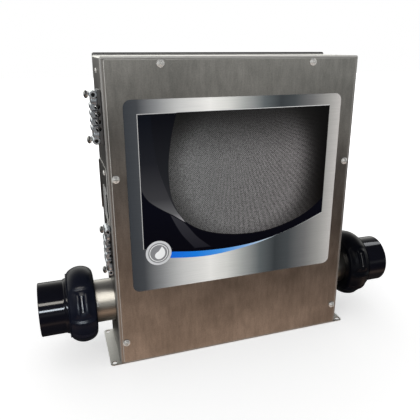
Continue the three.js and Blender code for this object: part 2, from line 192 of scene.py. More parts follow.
# ---------- procedural materials ----------
class Finish:
    """A principled material whose nodes are added by short calls. Coordinates are metres."""

    def __init__(self, name, colour, metallic=0.0, roughness=0.5, **sockets):
        self.material = bpy.data.materials.new(name)
        self.material.use_nodes = True
        self.tree = self.material.node_tree
        self.shader = self.tree.nodes["Principled BSDF"]
        self.shader.inputs["Base Color"].default_value = (*as_colour(colour), 1)
        self.shader.inputs["Metallic"].default_value = metallic
        self.shader.inputs["Roughness"].default_value = roughness
        for key, value in sockets.items():
            self.shader.inputs[key.replace("_", " ")].default_value = value
        self.place = self.tree.nodes.new("ShaderNodeTexCoord").outputs["Object"]
        self.material.diffuse_color = (*as_colour(colour), 1)

    def node(self, kind, inputs, **settings):
        made = self.tree.nodes.new("ShaderNode" + kind)
        for key, value in settings.items():
            setattr(made, key, value)
        for key, value in inputs.items():
            if isinstance(value, bpy.types.NodeSocket):
                self.tree.links.new(value, made.inputs[key])
            else:
                made.inputs[key].default_value = value
        return made

    def noise(self, stretch, detail=3.0, rough=0.55):
        """Noise with so many features to the metre along each axis."""
        where = self.node("Mapping", {"Vector": self.place, "Scale": as_colour(stretch)})
        inputs = {"Vector": where.outputs[0], "Scale": 1.0, "Detail": detail, "Roughness": rough}
        return self.node("TexNoise", inputs).outputs[0]

    def axis(self, name):
        return self.node("SeparateXYZ", {0: self.place}).outputs[name]

    def span(self, value, low, high, to_low=0.0, to_high=1.0, smooth=False):
        inputs = {"Value": value, "From Min": low, "From Max": high, "To Min": to_low, "To Max": to_high}
        kind = "SMOOTHSTEP" if smooth else "LINEAR"
        return self.node("MapRange", inputs, interpolation_type=kind).outputs[0]

    def math(self, operation, a, b=0.0):
        return self.node("Math", {0: a, 1: b}, operation=operation).outputs[0]

    def weigh(self, a, share_a, b, share_b):
        """The sum of two values, each times its share."""
        return self.math("ADD", self.math("MULTIPLY", a, share_a), self.math("MULTIPLY", b, share_b))

    def tint(self, colour, tone):
        """A colour times a tone."""
        grey = self.node("CombineColor", {0: tone, 1: tone, 2: tone}).outputs[0]
        return self.blend(1.0, colour, grey, "MULTIPLY")

    def ramp(self, value, stops):
        made = self.node("ValToRGB", {0: value})
        fill_ramp(made.color_ramp, stops)
        return made.outputs[0]

    def blend(self, factor, a, b, how="MIX"):
        a, b = [v if isinstance(v, bpy.types.NodeSocket) else (*as_colour(v), 1) for v in (a, b)]
        made = self.node("Mix", {0: factor, 6: a, 7: b}, data_type="RGBA", blend_type=how)
        return made.outputs[2]

    def wire(self, socket, value):
        self.tree.links.new(value, self.shader.inputs[socket])
        return self

    def bump(self, height, depth, strength=1.0):
        inputs = {"Height": height, "Distance": depth * MM, "Strength": strength}
        return self.wire("Normal", self.node("Bump", inputs).outputs[0])


def shade(colour, amount):
    return tuple(c * amount for c in as_colour(colour))


def brushed(name, colour, stretch, rough=(0.28, 0.44), contrast=0.1, depth=0.012, metallic=1.0):
    """Rolled or brushed sheet: streaks along one axis, mottled, with soft cloudy patches."""
    f = Finish(name, colour, metallic=metallic)
    streak = f.noise(stretch, 4.0, 0.6)
    fine = f.noise([s * 2.7 for s in stretch], 2.0)
    cloud = f.noise(14.0, 3.0, 0.6)
    patches = f.blend(f.span(cloud, 0.3, 0.7), shade(colour, 1 - contrast), shade(colour, 1 + contrast * 0.6))
    mottle = f.noise([s * 0.36 for s in stretch], 3.0, 0.6)
    mixed = f.weigh(streak, 0.4, mottle, 0.6)
    speck = f.weigh(mixed, 0.65, f.noise(650.0, 2.0), 0.35)
    f.wire("Base Color", f.tint(patches, f.span(speck, 0.3, 0.7, 1 - contrast, 1 + contrast)))
    f.wire("Roughness", f.span(f.weigh(mixed, 0.25, cloud, 0.75), 0.3, 0.7, *rough))
    f.bump(f.math("ADD", mottle, f.math("MULTIPLY", fine, 0.6)), depth, 0.6)
    return f.material


def speckled(name, colour, metallic, rough, grain, depth, contrast=0.12, level=0.5):
    """Cast, moulded or plated skin: fine grain with slow changes of tone and polish."""
    f = Finish(name, colour, metallic=metallic, Specular_IOR_Level=level)
    small = f.noise(grain, 3.0)
    slow = f.noise(grain * 0.06, 3.0, 0.6)
    tones = shade(colour, 1 - contrast), shade(colour, 1 + contrast)
    f.wire("Base Color", f.blend(f.span(slow, 0.3, 0.7), *tones))
    f.wire("Roughness", f.span(f.weigh(slow, 0.6, small, 0.4), 0.3, 0.7, *rough))
    f.bump(small, depth, 0.6)
    return f.material


def printed_silver():
    """The film's printed frame: bands of light and dark across its width, like brushed metal."""
    f = Finish("label_silver", 0.4, roughness=0.36, Specular_IOR_Level=0.2)
    bands = [
        (0.0, (0.036, 0.042, 0.05)), (0.06, (0.055, 0.06, 0.068)), (0.14, (0.24, 0.245, 0.25)),
        (0.24, (0.56, 0.56, 0.55)), (0.37, (0.82, 0.81, 0.78)), (0.45, (0.66, 0.66, 0.63)),
        (0.53, (0.36, 0.37, 0.36)), (0.62, (0.11, 0.125, 0.13)), (0.7, (0.038, 0.045, 0.05)),
        (0.77, (0.06, 0.068, 0.073)), (0.86, (0.16, 0.16, 0.16)), (0.94, (0.33, 0.325, 0.31)),
        (1.0, (0.5, 0.48, 0.46)),
    ]
    half = box("front_label")[1].x * MM
    bent = f.math("ADD", f.axis("X"), f.math("MULTIPLY", f.noise((3, 3, 60)), 0.003))
    tone = f.ramp(f.span(bent, -half, half), bands)
    f.wire("Base Color", f.tint(tone, f.span(f.noise((25, 25, 1500), 3.0), 0.3, 0.7, 0.93, 1.05)))
    f.bump(f.noise((30, 30, 1500)), 0.004, 0.4)
    return f.material


def printed_tone(name, axis, low, high, stops, rough=0.3):
    """Printed ink that changes tone along X or Z, between two places in millimetres."""
    f = Finish(name, 0.02, roughness=rough, Specular_IOR_Level=0.12)
    f.wire("Base Color", f.ramp(f.span(f.axis(axis), low * MM, high * MM), stops))
    f.bump(f.noise(900.0), 0.003, 0.3)
    return f.material


def printed_mesh():
    """The grey field: fine printed dots with fanned streaks, fading to black at the top and right."""
    f = Finish("label_mesh", 0.1, roughness=0.33, Specular_IOR_Level=0.3)
    x, z = f.axis("X"), f.axis("Z")
    fan_x, fan_z, streaks = -0.012, 0.335, 140.0
    fan = f.math("ARCTAN2", f.math("SUBTRACT", x, fan_x), f.math("SUBTRACT", fan_z, z))
    wobble = f.math("MULTIPLY", f.noise(40.0, 2.0), 0.06)
    rays = f.math("SINE", f.math("MULTIPLY", f.math("ADD", fan, wobble), streaks))
    rays = f.math("MULTIPLY", rays, f.span(x, -0.08, 0.05, 0.25, 1.0, True))
    dot_pitch = 0.0026
    across, down = [f.math("SINE", f.math("MULTIPLY", along, TURN / dot_pitch)) for along in (x, z)]
    dots = f.math("MULTIPLY", across, down)
    grain = f.span(f.noise(700.0, 1.0), 0.3, 0.7, 0.42, 1.58)
    tone = f.math("ADD", f.weigh(rays, 0.17, dots, 0.6), grain)
    top = f.span(z, 0.334, 0.262, 0.1, 1.0, True)
    right = f.span(x, 0.124, 0.07, 0.03, 1.0, True)
    middle_x, middle_z = 0.01, 0.26
    offset = f.node("CombineXYZ", {0: f.math("MULTIPLY", f.math("SUBTRACT", x, middle_x), 9.9),
                                   1: f.math("MULTIPLY", f.math("SUBTRACT", z, middle_z), 9.5)})
    reach = f.node("VectorMath", {0: offset.outputs[0]}, operation="LENGTH").outputs["Value"]
    dark = f.math("MULTIPLY", f.math("MULTIPLY", top, right), f.span(reach, 1.05, 0.72, 0.33, 1.0, True))
    grey = f.math("MULTIPLY", f.math("MULTIPLY", tone, dark), 0.14)
    warm = f.math("MULTIPLY", grey, f.span(x, -0.05, 0.12, 1.0, 1.08))
    f.wire("Base Color", f.node("CombineColor", {0: warm, 1: grey, 2: grey}).outputs[0])
    f.bump(dots, 0.01, 0.3)
    return f.material


def circuit_board():
    f = Finish("board_mask", (0.02, 0.13, 0.05), roughness=0.35)
    where = f.node("Mapping", {"Vector": f.place, "Rotation": (math.pi / 2, 0, 0), "Scale": (90, 90, 90)})
    inputs = {"Vector": where.outputs[0], "Scale": 1.0, "Mortar Size": 0.03, "Brick Width": 0.9,
              "Row Height": 0.2}
    tracks = f.node("TexBrick", inputs).outputs["Fac"]
    cloud = f.span(f.noise(30.0), 0.3, 0.7)
    mask = f.blend(cloud, (0.012, 0.1, 0.035), (0.02, 0.15, 0.06))
    f.wire("Base Color", f.blend(tracks, mask, (0.05, 0.3, 0.12)))
    f.bump(tracks, 0.05, 0.5)
    return f.material


STEEL = (0.57, 0.55, 0.52)
panel_steel = brushed("panel_steel", STEEL, (420, 420, 80), rough=(0.29, 0.34), contrast=0.26, depth=0.008)
# A lighter copy of the sheet's steel for the front flange strip: painted light.
flange_steel = brushed("flange_steel", shade(STEEL, 1.05), (700, 700, 110), contrast=0.1)
# A copy of the sheet's steel for the rounded side bends, so they show as a line: a painted highlight.
bend_steel = brushed("bend_steel", (0.42, 0.41, 0.39), (500, 500, 60), rough=(0.35, 0.45), contrast=0.08,
                     metallic=0.7)
# A lighter copy of the sheet's steel for the top face and a strip of the back panel: painted light.
top_steel = brushed("top_steel", (0.8, 0.79, 0.76), (60, 500, 500), rough=(0.3, 0.42), contrast=0.05)
# The sheet's steel at less than half its tone, for the walls, the side plate and the saddles: painted shade.
wall_steel = brushed("wall_steel", shade(STEEL, 0.42), (800, 300, 60), contrast=0.09)
# A lighter steel for the side plate's raised field: painted light.
plate_steel = brushed("plate_steel", (0.52, 0.52, 0.51), (500, 500, 60), contrast=0.14, metallic=0.4)
# A bright copy of the steel for cut edges, the shell's top front bend and the side plate's tab: painted
# highlight.
cut_edge = brushed("cut_edge", (0.6, 0.59, 0.56), (400, 400, 60), rough=(0.42, 0.6), contrast=0.05,
                   metallic=0.4)
# A near black steel along the back panel's top edge: painted shade.
dark_edge = brushed("dark_edge", (0.1, 0.1, 0.1), (400, 400, 60), rough=(0.5, 0.6), contrast=0.1,
                    metallic=0.6)
foot_steel = brushed("foot_steel", (0.66, 0.66, 0.63), (120, 600, 600), rough=(0.35, 0.5), contrast=0.1)
tube_steel = brushed("tube_steel", (0.46, 0.445, 0.41), (50, 700, 700), rough=(0.27, 0.42), contrast=0.1)
screw_steel = speckled("screw_steel", (0.84, 0.83, 0.8), 0.6, (0.2, 0.36), 900.0, 0.01)
clamp_zinc = speckled("clamp_zinc", (0.66, 0.7, 0.74), 0.9, (0.2, 0.36), 420.0, 0.05, 0.25)
head_steel = speckled("head_steel", (0.34, 0.34, 0.33), 1.0, (0.25, 0.4), 900.0, 0.01)
# A dark copy of the clamps' zinc for the strips on the wall and the web behind the arches: painted shade.
base_zinc = speckled("base_zinc", (0.3, 0.31, 0.32), 1.0, (0.36, 0.5), 420.0, 0.05, 0.15)
# Black for holes, channels and slots where there is only shade: painted shade.
deep_bore = speckled("deep_bore", (0.01, 0.01, 0.01), 0.0, (0.7, 0.9), 500.0, 0.01, level=0.1)
pin_grey = speckled("pin_grey", (0.13, 0.13, 0.135), 0.5, (0.4, 0.5), 900.0, 0.01, level=0.3)
gloss_black = speckled("gloss_black", (0.0015, 0.0015, 0.0025), 0.0, (0.06, 0.12), 350.0, 0.004, level=0.15)
nut_black = speckled("nut_black", (0.0014, 0.0018, 0.004), 0.0, (0.26, 0.4), 1300.0, 0.012, level=0.13)
ring_rubber = speckled("ring_rubber", (0.02, 0.02, 0.02), 0.0, (0.6, 0.8), 1500.0, 0.02)
relay_black = speckled("relay_black", (0.015, 0.015, 0.017), 0.0, (0.3, 0.45), 900.0, 0.01)
cream_plastic = speckled("cream_plastic", (0.72, 0.69, 0.6), 0.0, (0.4, 0.55), 700.0, 0.01, 0.06)
iron_sheet = brushed("iron_sheet", (0.13, 0.11, 0.1), (60, 2200, 60), rough=(0.4, 0.6), contrast=0.25)
copper = speckled("copper", (0.74, 0.37, 0.22), 1.0, (0.22, 0.4), 300.0, 0.01)
brass = speckled("brass", (0.74, 0.57, 0.28), 1.0, (0.2, 0.36), 500.0, 0.01)
amber_tape = speckled("amber_tape", (0.42, 0.19, 0.04), 0.0, (0.25, 0.4), 500.0, 0.02)
lead_black = speckled("lead_black", (0.015, 0.015, 0.015), 0.0, (0.4, 0.55), 900.0, 0.01)
lead_red = speckled("lead_red", (0.45, 0.02, 0.02), 0.0, (0.35, 0.5), 900.0, 0.01)
glass = Finish("fuse_glass", (0.9, 0.92, 0.92), roughness=0.05, Transmission_Weight=1.0, IOR=1.45).material
board_mask = circuit_board()


# ---------- outlines ----------
def rounded(corners, steps=6):
    """A closed outline whose (a, b, radius) corners are turned into arcs."""
    out = []
    for i, (a, b, radius) in enumerate(corners):
        here = Vector((a, b))
        if radius <= 0:
            out.append(here)
            continue
        back = (Vector(corners[i - 1][:2]) - here).normalized()
        ahead = (Vector(corners[(i + 1) % len(corners)][:2]) - here).normalized()
        half = back.angle(ahead) / 2
        centre = here + (back + ahead).normalized() * (radius / math.sin(half))
        start = here + back * (radius / math.tan(half)) - centre
        end = here + ahead * (radius / math.tan(half)) - centre
        first = math.atan2(start.y, start.x)
        sweep = (math.atan2(end.y, end.x) - first + math.pi) % TURN - math.pi
        for k in range(steps + 1):
            angle = first + sweep * k / steps
            out.append(centre + radius * Vector((math.cos(angle), math.sin(angle))))
    return out


def rectangle(a0, a1, b0, b1, radius=0.0):
    return [(a0, b0, radius), (a1, b0, radius), (a1, b1, radius), (a0, b1, radius)]


def circle(a, b, radius, steps=32):
    return [Vector((a + radius * math.cos(TURN * k / steps), b + radius * math.sin(TURN * k / steps)))
            for k in range(steps)]


def hexagon(a, b, radius):
    return rounded([(*p, 0.5) for p in circle(a, b, radius, 6)], 2)


def solid_rod(low, high, radius):
    """Lathe profile of a plain solid rod."""
    return [(low, 0), (low, radius), (high, radius), (high, 0)]


def face_outline(low, high, radius, steps=6):
    """The front view of a box, with rounded corners."""
    return rounded(rectangle(low.x, high.x, low.z, high.z, radius), steps)


def oriented(outline, sign):
    area = sum(p.x * q.y - q.x * p.y for p, q in zip(outline, outline[1:] + outline[:1]))
    return outline if area * sign > 0 else outline[::-1]


def inset(outline, distance):
    """The outline moved to the left of its own direction."""
    moved = []
    for before, here, after in zip(outline[-1:] + outline[:-1], outline, outline[1:] + outline[:1]):
        a, b = (here - before).normalized(), (after - here).normalized()
        left_a, left_b = Vector((-a.y, a.x)), Vector((-b.y, b.x))
        moved.append(here + (left_a + left_b) * (distance / (1 + left_a.dot(left_b))))
    return moved


def smooth_line(points, steps=8):
    """A smooth curve through 3D points."""
    points = [Vector(p) for p in points]
    ends = [2 * points[0] - points[1], *points, 2 * points[-1] - points[-2]]
    line = []
    for before, a, b, after in zip(ends, ends[1:], ends[2:], ends[3:]):
        reach = (b - a).length / 3
        out, back = (b - before).normalized() * reach, (after - a).normalized() * reach
        line += interpolate_bezier(a, a + out, b - back, b, steps + 1)[:-1]
    return line + [points[-1]]


def smooth_flat(points, steps=8):
    return [Vector((p.x, p.y)) for p in smooth_line([(a, b, 0) for a, b in points], steps)]


# ---------- pieces ----------
PLANES = {
    "xz": lambda p, depth: Vector((p.x, depth, p.y)),
    "yz": lambda p, depth: Vector((depth, p.x, p.y)),
    "xy": lambda p, depth: Vector((p.x, p.y, depth)),
}


class Part:
    """One piece in the making: closed shells in millimetres, each with its material."""

    def __init__(self):
        self.bm = bmesh.new()
        self.materials = []

    def index(self, material):
        if material not in self.materials:
            self.materials.append(material)
        return self.materials.index(material)

    def faces(self, corners, material, smooth=True):
        face = self.bm.faces.new(corners)
        face.material_index = self.index(material)
        face.smooth = smooth

    def skin(self, rings, material, wrap=False, closed=True):
        """Joins rings of as many points each. wrap joins the last to the first, else the ends are capped."""
        rings = [[self.bm.verts.new(p) for p in ring] for ring in rings]
        count = len(rings[0])
        for a, b in zip(rings, rings[1:] + rings[:1] if wrap else rings[1:]):
            for i in range(count if closed else count - 1):
                j = (i + 1) % count
                self.faces((a[i], a[j], b[j], b[i]), material)
        if not wrap:
            self.faces(rings[0], material, False)
            self.faces(rings[-1], material, False)

    def lathe(self, material, axis, centre, profile, steps=64, arc=None, warp=None, closed=False):
        """Turns (along, radius) points. On X the angle runs from the front (-Y) upwards."""
        start, end = arc or (0, TURN)
        rings = []
        for k in range(steps if arc is None else steps + 1):
            angle = start + (end - start) * k / steps
            ring = []
            for along, radius in profile:
                r = warp(along, radius, angle) if warp else radius
                u, v = r * math.cos(angle), r * math.sin(angle)
                spot = {"x": (along, -u, v), "y": (u, along, v), "z": (u, v, along)}[axis]
                ring.append(Vector(centre) + Vector(spot))
            rings.append(ring)
        self.skin(rings, material, wrap=arc is None, closed=closed)

    def plate(self, material, plane, low, high, outer, holes=(), edge=0.2, side=None):
        """A flat sheet with holes and softened edges. The sides may have a material of their own."""
        bend = edge * (1 - math.sqrt(0.5))
        section = [(edge, low), (bend, low + bend), (0, low + edge),
                   (0, high - edge), (bend, high - bend), (edge, high)]
        rims = ([], [])
        loops = [oriented([Vector(p) for p in outer], 1)]
        loops += [oriented([Vector(p) for p in hole], -1) for hole in holes]
        for loop in loops:
            rings = [[self.bm.verts.new(PLANES[plane](p, depth)) for p in inset(loop, by)]
                     for by, depth in section]
            for a, b in zip(rings, rings[1:]):
                for i in range(len(loop)):
                    self.faces((a[i - 1], a[i], b[i], b[i - 1]), side or material)
            for rim, ring in zip(rims, (rings[0], rings[-1])):
                rim += [self.bm.edges.get((ring[i - 1], ring[i])) for i in range(len(loop))]
        for rim in rims:
            made = bmesh.ops.triangle_fill(self.bm, use_beauty=True, use_dissolve=False, edges=rim)
            for face in made["geom"]:
                if isinstance(face, bmesh.types.BMFace):
                    face.material_index = self.index(material)
                    face.smooth = False

    def block(self, material, low, high, edge=0.4):
        outline = rounded(rectangle(low[0], high[0], low[1], high[1], edge * 1.7), 4)
        self.plate(material, "xy", low[2], high[2], outline, edge=edge)

    def band(self, material, corners, section):
        """Carries a section of (inset, depth) points round a closed xz outline of corners."""
        rings = []
        flat = [Vector(c[:2]) for c in corners]
        for by, depth in section:
            moved = inset(flat, by)
            ring = rounded([(p.x, p.y, max(c[2] - by, 0.05)) for p, c in zip(moved, corners)])
            rings.append([PLANES["xz"](p, depth) for p in ring])
        self.skin(rings, material, wrap=True)
        # only the narrow faces of the bends are round
        for face in self.bm.faces:
            face.smooth = min(edge.calc_length() for edge in face.edges) < 2

    def sweep(self, material, points, radius, sides=14, steps=8):
        """A round bar along a smooth curve."""
        line = smooth_line(points, steps)
        heading = (line[1] - line[0]).normalized()
        across = heading.orthogonal().normalized()
        rings = []
        for i, here in enumerate(line):
            new = (line[min(i + 1, len(line) - 1)] - line[max(i - 1, 0)]).normalized()
            across = (heading.rotation_difference(new) @ across).normalized()
            heading = new
            up = heading.cross(across)
            angles = [TURN * k / sides for k in range(sides)]
            rings.append([here + radius * (math.cos(a) * across + math.sin(a) * up) for a in angles])
        self.skin(rings, material)

    def tidy(self):
        bmesh.ops.remove_doubles(self.bm, verts=self.bm.verts, dist=1e-4)
        bmesh.ops.dissolve_degenerate(self.bm, edges=self.bm.edges, dist=1e-5)
        bmesh.ops.recalc_face_normals(self.bm, faces=self.bm.faces)

    def loose_object(self):
        self.tidy()
        mesh = bpy.data.meshes.new("work")
        self.bm.to_mesh(mesh)
        for material in self.materials:
            mesh.materials.append(material)
        made = bpy.data.objects.new("work", mesh)
        bpy.context.scene.collection.objects.link(made)
        return made

    def cut(self, tool):
        """Takes the tool's shells out of this part."""
        body, blade = self.loose_object(), tool.loose_object()
        modifier = body.modifiers.new("cut", "BOOLEAN")
        modifier.object = blade
        modifier.operation = "DIFFERENCE"
        modifier.solver = "EXACT"
        bpy.context.view_layer.update()
        shape = bpy.data.meshes.new_from_object(body.evaluated_get(bpy.context.evaluated_depsgraph_get()))
        self.bm.clear()
        self.bm.from_mesh(shape)
        for spent in (body, blade):
            old = spent.data
            bpy.data.objects.remove(spent)
            bpy.data.meshes.remove(old)
        bpy.data.meshes.remove(shape)

    def finish(self, body, slot, *nodes, sharp=38):
        """Makes the piece that stands for the named CAD nodes."""
        self.tidy()
        for edge in self.bm.edges:
            flat = any(not face.smooth for face in edge.link_faces)
            edge.smooth = edge.calc_face_angle(0) < math.radians(2 if flat else sharp)
        for face in self.bm.faces:
            face.smooth = True
        mesh = bpy.data.meshes.new(nodes[0] + "_fine")
        self.bm.to_mesh(mesh)
        self.bm.free()
        mesh.transform(Matrix.Scale(MM, 4))
        for material in self.materials:
            mesh.materials.append(material)
        piece = bpy.data.objects.new(mesh.name, mesh)
        bpy.context.scene.collection.objects.link(piece)
        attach(piece, body)
        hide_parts(*nodes)
        return piece


def arc_profile(centre, radius, first, last, steps=6):
    """Profile points on an arc, angles in degrees from the along direction."""
    angles = [math.radians(first + (last - first) * k / steps) for k in range(steps + 1)]
    return [(centre[0] + radius * math.cos(a), centre[1] + radius * math.sin(a)) for a in angles]


# ---------- enclosure ----------
SCREW_NODES = [f"cover_screw_{i + 1}" for i in range(6)]
SCREW_CENTRES = [middle(name) for name in SCREW_NODES]


def base_plate():
    """The floor with its two feet, and lips turned up inside the walls and the front."""
    low, high = box("base_plate")
    top = SHELL_LOW.z - GAP
    side_lip_y, front_lip_x = 40, 148
    part = Part()
    foot = rounded(rectangle(low.x, high.x, low.y, high.y, 4), 8)
    hole_x, hole_y, hole_r = high.x - 5.3, high.y - 5.1, 3.0
    holes = [circle(i * hole_x, j * hole_y, hole_r, 28) for i in (-1, 1) for j in (-1, 1)]
    part.plate(foot_steel, "xy", 0, top, foot, holes, edge=0.35)
    lip = SHELL_HIGH.x - SHEET - GAP
    for side in (-1, 1):
        a, b = sorted((side * lip, side * (lip - SHEET)))
        part.block(foot_steel, (a, -side_lip_y, top - 0.5), (b, side_lip_y, high.z), 0.3)
    part.block(foot_steel, (-front_lip_x, SHELL_LOW.y, top - 0.5),
               (front_lip_x, SHELL_LOW.y + SHEET, high.z - 2), 0.3)
    part.finish("chassis", "stainless", "base_plate")


def shell_cuts():
    """The open underside, the tube's holes, the screw holes and a window behind each cord clamp."""
    through_wall, window_half = (-170, -150), 22
    blade = Part()
    blade.block(wall_steel, (-200, -90, -60), (200, 90, SHELL_LOW.z))
    blade.lathe(wall_steel, "x", AXIS, solid_rod(-200, 200, 31))
    for centre in SCREW_CENTRES:
        blade.lathe(wall_steel, "y", (centre.x, 0, centre.z), solid_rod(-50, -40, 2.3), 24)
    for clamp in ("upper", "lower"):
        low, high = box(clamp + "_clamp_base")
        mid = (low.z + high.z) / 2
        window = rounded(rectangle(-4, 26, mid - window_half, mid + window_half, 5), 6)
        blade.plate(wall_steel, "yz", *through_wall, window)
        for tip in ("top", "bottom"):
            screw = middle(f"{clamp}_clamp_screw_{tip}")
            blade.lathe(wall_steel, "x", (0, screw.y, screw.z), solid_rod(*through_wall, 2.4), 24)
    return blade


def wrap_shell():
    """One folded sheet: two walls and the top, with a narrow flange turned in at the front."""
    flange, bend = 14.0, 2.0
    front, back = SHELL_LOW.y, SHELL_HIGH.y
    section = rounded([(0, back, 0.3), (0, front, bend), (flange, front, 0.3), (flange, front + SHEET, 0.3),
                       (SHEET, front + SHEET, bend - SHEET), (SHEET, back, 0.3)], 5)
    part = Part()
    # The sheet is drawn in a darkened copy of the steel: painted shade.
    part.band(wall_steel, rectangle(SHELL_LOW.x, SHELL_HIGH.x, SHELL_LOW.z - 30, SHELL_HIGH.z, bend), section)
    part.cut(shell_cuts())
    for face in part.bm.faces:
        centre = face.calc_center_median()
        on_bend = centre.y < front + bend
        # The front flange in a lighter copy of the steel: painted light.
        if centre.y < front + 0.02:
            face.material_index = part.index(flange_steel)
        # The top in a lighter copy, painted light, and its front bend bright, a painted highlight.
        elif centre.z > SHELL_HIGH.z - bend:
            face.material_index = part.index(cut_edge if on_bend else top_steel)
        # The side bends in a copy that shows as a line: a painted highlight.
        elif on_bend and abs(centre.x) > SHELL_HIGH.x - bend:
            face.material_index = part.index(bend_steel)
    part.finish("chassis", "stainless", "wrap_shell", sharp=30)


def back_panel():
    """A flat sheet that stands above the shell: a strip of it shows there, lighter, painted light, under an
    edge of painted shade.
    """
    low, high = box("back_panel")
    part = Part()
    # The sheet's edges are brighter than its face: a painted highlight.
    part.plate(panel_steel, "xz", low.y, high.y, face_outline(low, high, 2), edge=0.35, side=cut_edge)
    edge_z = high.z - 1.2
    # A lighter strip, painted light, under a near black edge, painted shade.
    part.block(top_steel, (low.x + 2, low.y - 0.1, SHELL_HIGH.z - 1), (high.x - 2, low.y + 0.3, edge_z), 0.1)
    part.block(dark_edge, (low.x + 2, low.y - 0.2, edge_z), (high.x - 2, high.y - 0.3, high.z + 0.1), 0.1)
    part.finish("chassis", "stainless", "back_panel")


def front_cover():
    low, high = box("front_cover")
    part = Part()
    holes = [circle(c.x, c.z, 2.3, 24) for c in SCREW_CENTRES]
    # The plate's edges are brighter than its face: a painted highlight.
    part.plate(panel_steel, "xz", low.y, high.y, face_outline(low, high, 2), holes, edge=0.55,
               side=cut_edge)
    part.finish("cover", "stainless", "front_cover")


def cross_recess(axis, tip, y=0.0, z=0.0, x=0.0):
    """Two crossed blades that cut a driver's recess into a head whose outer face is at tip."""
    wide, thin = 2.3, 0.5
    corners = []
    for a, b in ((1, 1), (-1, 1), (-1, -1), (1, -1)):
        arms = [(a * wide, b * thin), (a * thin, b * thin), (a * thin, b * wide)]
        corners += arms if a * b > 0 else arms[::-1]
    blade = Part()
    plane, centre = ("xz", Vector((x, z))) if axis == "y" else ("yz", Vector((y, z)))
    blade.plate(screw_steel, plane, tip - 1, tip + 1.4, [Vector(c) + centre for c in corners], edge=0.05)
    return blade


def cover_screw(name, centre):
    """Washer-faced pan head on a threaded shank."""
    low, high = box(name)
    seat = box("front_cover")[0].y - GAP
    tip, flange_r = low.y, (high.x - low.x) / 2
    head = [(tip, 0), (tip + 0.06, 1.6), (tip + 0.5, 2.9), (tip + 1.3, 3.6), (seat - 0.9, 3.8),
            (seat - 0.75, flange_r - 0.2), (seat - 0.55, flange_r), (seat - 0.1, flange_r),
            (seat, flange_r - 0.2)]
    part = Part()
    part.lathe(screw_steel, "y", (centre.x, 0, centre.z), head + [(seat, 1.9), (seat, 0)], 48)
    part.cut(cross_recess("y", tip, x=centre.x, z=centre.z))
    pitch, crest_r, root_r = 0.8, 1.9, 1.45
    thread = [(seat - 0.1, 0), (seat - 0.1, crest_r)]
    for k in range(int((high.y - seat) / pitch)):
        thread += [(seat + 0.2 + pitch * k, crest_r), (seat + 0.6 + pitch * k, root_r)]
    part.lathe(screw_steel, "y", (centre.x, 0, centre.z), thread + [(high.y, 1.2), (high.y, 0)], 24)
    part.finish("cover", "screw_steel", name, sharp=28)


def side_rivet(name):
    """A domed head with a dimple."""
    low, high = box(name)
    centre = (low + high) / 2
    top, r = low.x, (high.z - low.z) / 2
    part = Part()
    profile = [(top + 0.75, 0), (top + 0.7, 0.8), (top + 0.05, 1.0), (top, 1.3), (top + 0.3, 2.3)]
    profile += [(top + 0.9, r - 0.2), (high.x - 0.25, r), (high.x, r - 0.15), (high.x, 0)]
    part.lathe(screw_steel, "x", (0, centre.y, centre.z), profile, 40)
    part.finish("chassis", "screw_steel", name, sharp=30)


def side_plate():
    """A riveted plate with a raised field that is lighter than the wall: painted light. A black inlay closes
    the slot just under its surface: painted shade.

    The field has a black mouth at its front edge, a painted shadow, and a small bright tab below, painted
    light. The plate's back edge is a lip.
    """
    low, high = box("side_plate")
    outline = rounded(rectangle(low.y, high.y, low.z, high.z, 3), 6)
    slot = rounded(rectangle(-27, -22.5, 210, 233, 2.1), 6)
    part = Part()
    # The plate in the walls' darkened steel, painted shade, with brighter edges, a painted highlight.
    part.plate(wall_steel, "yz", low.x, high.x, outline, [slot], edge=0.25, side=cut_edge)
    raised = rounded(rectangle(-31, 4, 198.5, 239, 3), 6)
    # The raised field in a lighter steel: painted light.
    part.plate(plate_steel, "yz", low.x - 0.6, low.x + 0.1, raised, [slot], edge=0.25)
    # A black block under the slot: painted shade.
    part.block(deep_bore, (low.x - 0.4, -28, 209), (high.x + 0.1, -21.5, 234), 0.1)
    mouth = rounded([(-38.6, 206, 1), (-31, 206, 1), (-31, 235, 1), (-36, 233, 2)], 4)
    # A black mouth at the field's front edge: a painted shadow.
    part.plate(deep_bore, "yz", low.x - 0.7, low.x + 0.1, mouth, edge=0.1)
    # A bright tab below the field: painted light.
    part.block(cut_edge, (low.x - 0.9, -31, 194.5), (high.x + 0.1, -22, 208), 0.4)
    part.block(wall_steel, (low.x - 1.4, high.y - 2.2, low.z + 3), (low.x + 0.3, high.y, high.z - 3), 0.4)
    part.finish("chassis", "stainless", "side_plate")


# ---------- printed label ----------
LABEL_LOW, LABEL_HIGH = box("front_label")
INK = 0.03
WINDOW_LEFT, WINDOW_RIGHT, WINDOW_TOP = -126.0, 125.5, 332.2
RIM_ARC = [(98, 173), (73, 164), (48, 157), (23, 152.5), (-7, 150), (-36, 150), (-62, 151.5), (-91, 155)]
STRIPE_ARC = [(60, 160), (36, 153), (18, 149), (-13, 144.5), (-40, 142.5), (-66, 143.5), (-93, 146.5)]
FIELD_ARC = [(-80, 331), (-87, 302), (-91, 273), (-91, 246), (-87, 222), (-73, 196), (-52, 181), (-25, 172),
             (8, 167.5), (45, 169), (82, 179), (106, 191), (125.5, 207)]
LEAF_ARC = [(-111, 330), (-109, 298), (-105, 270), (-97, 243), (-86, 215), (-72, 193), (-56, 174), (-37, 156)]


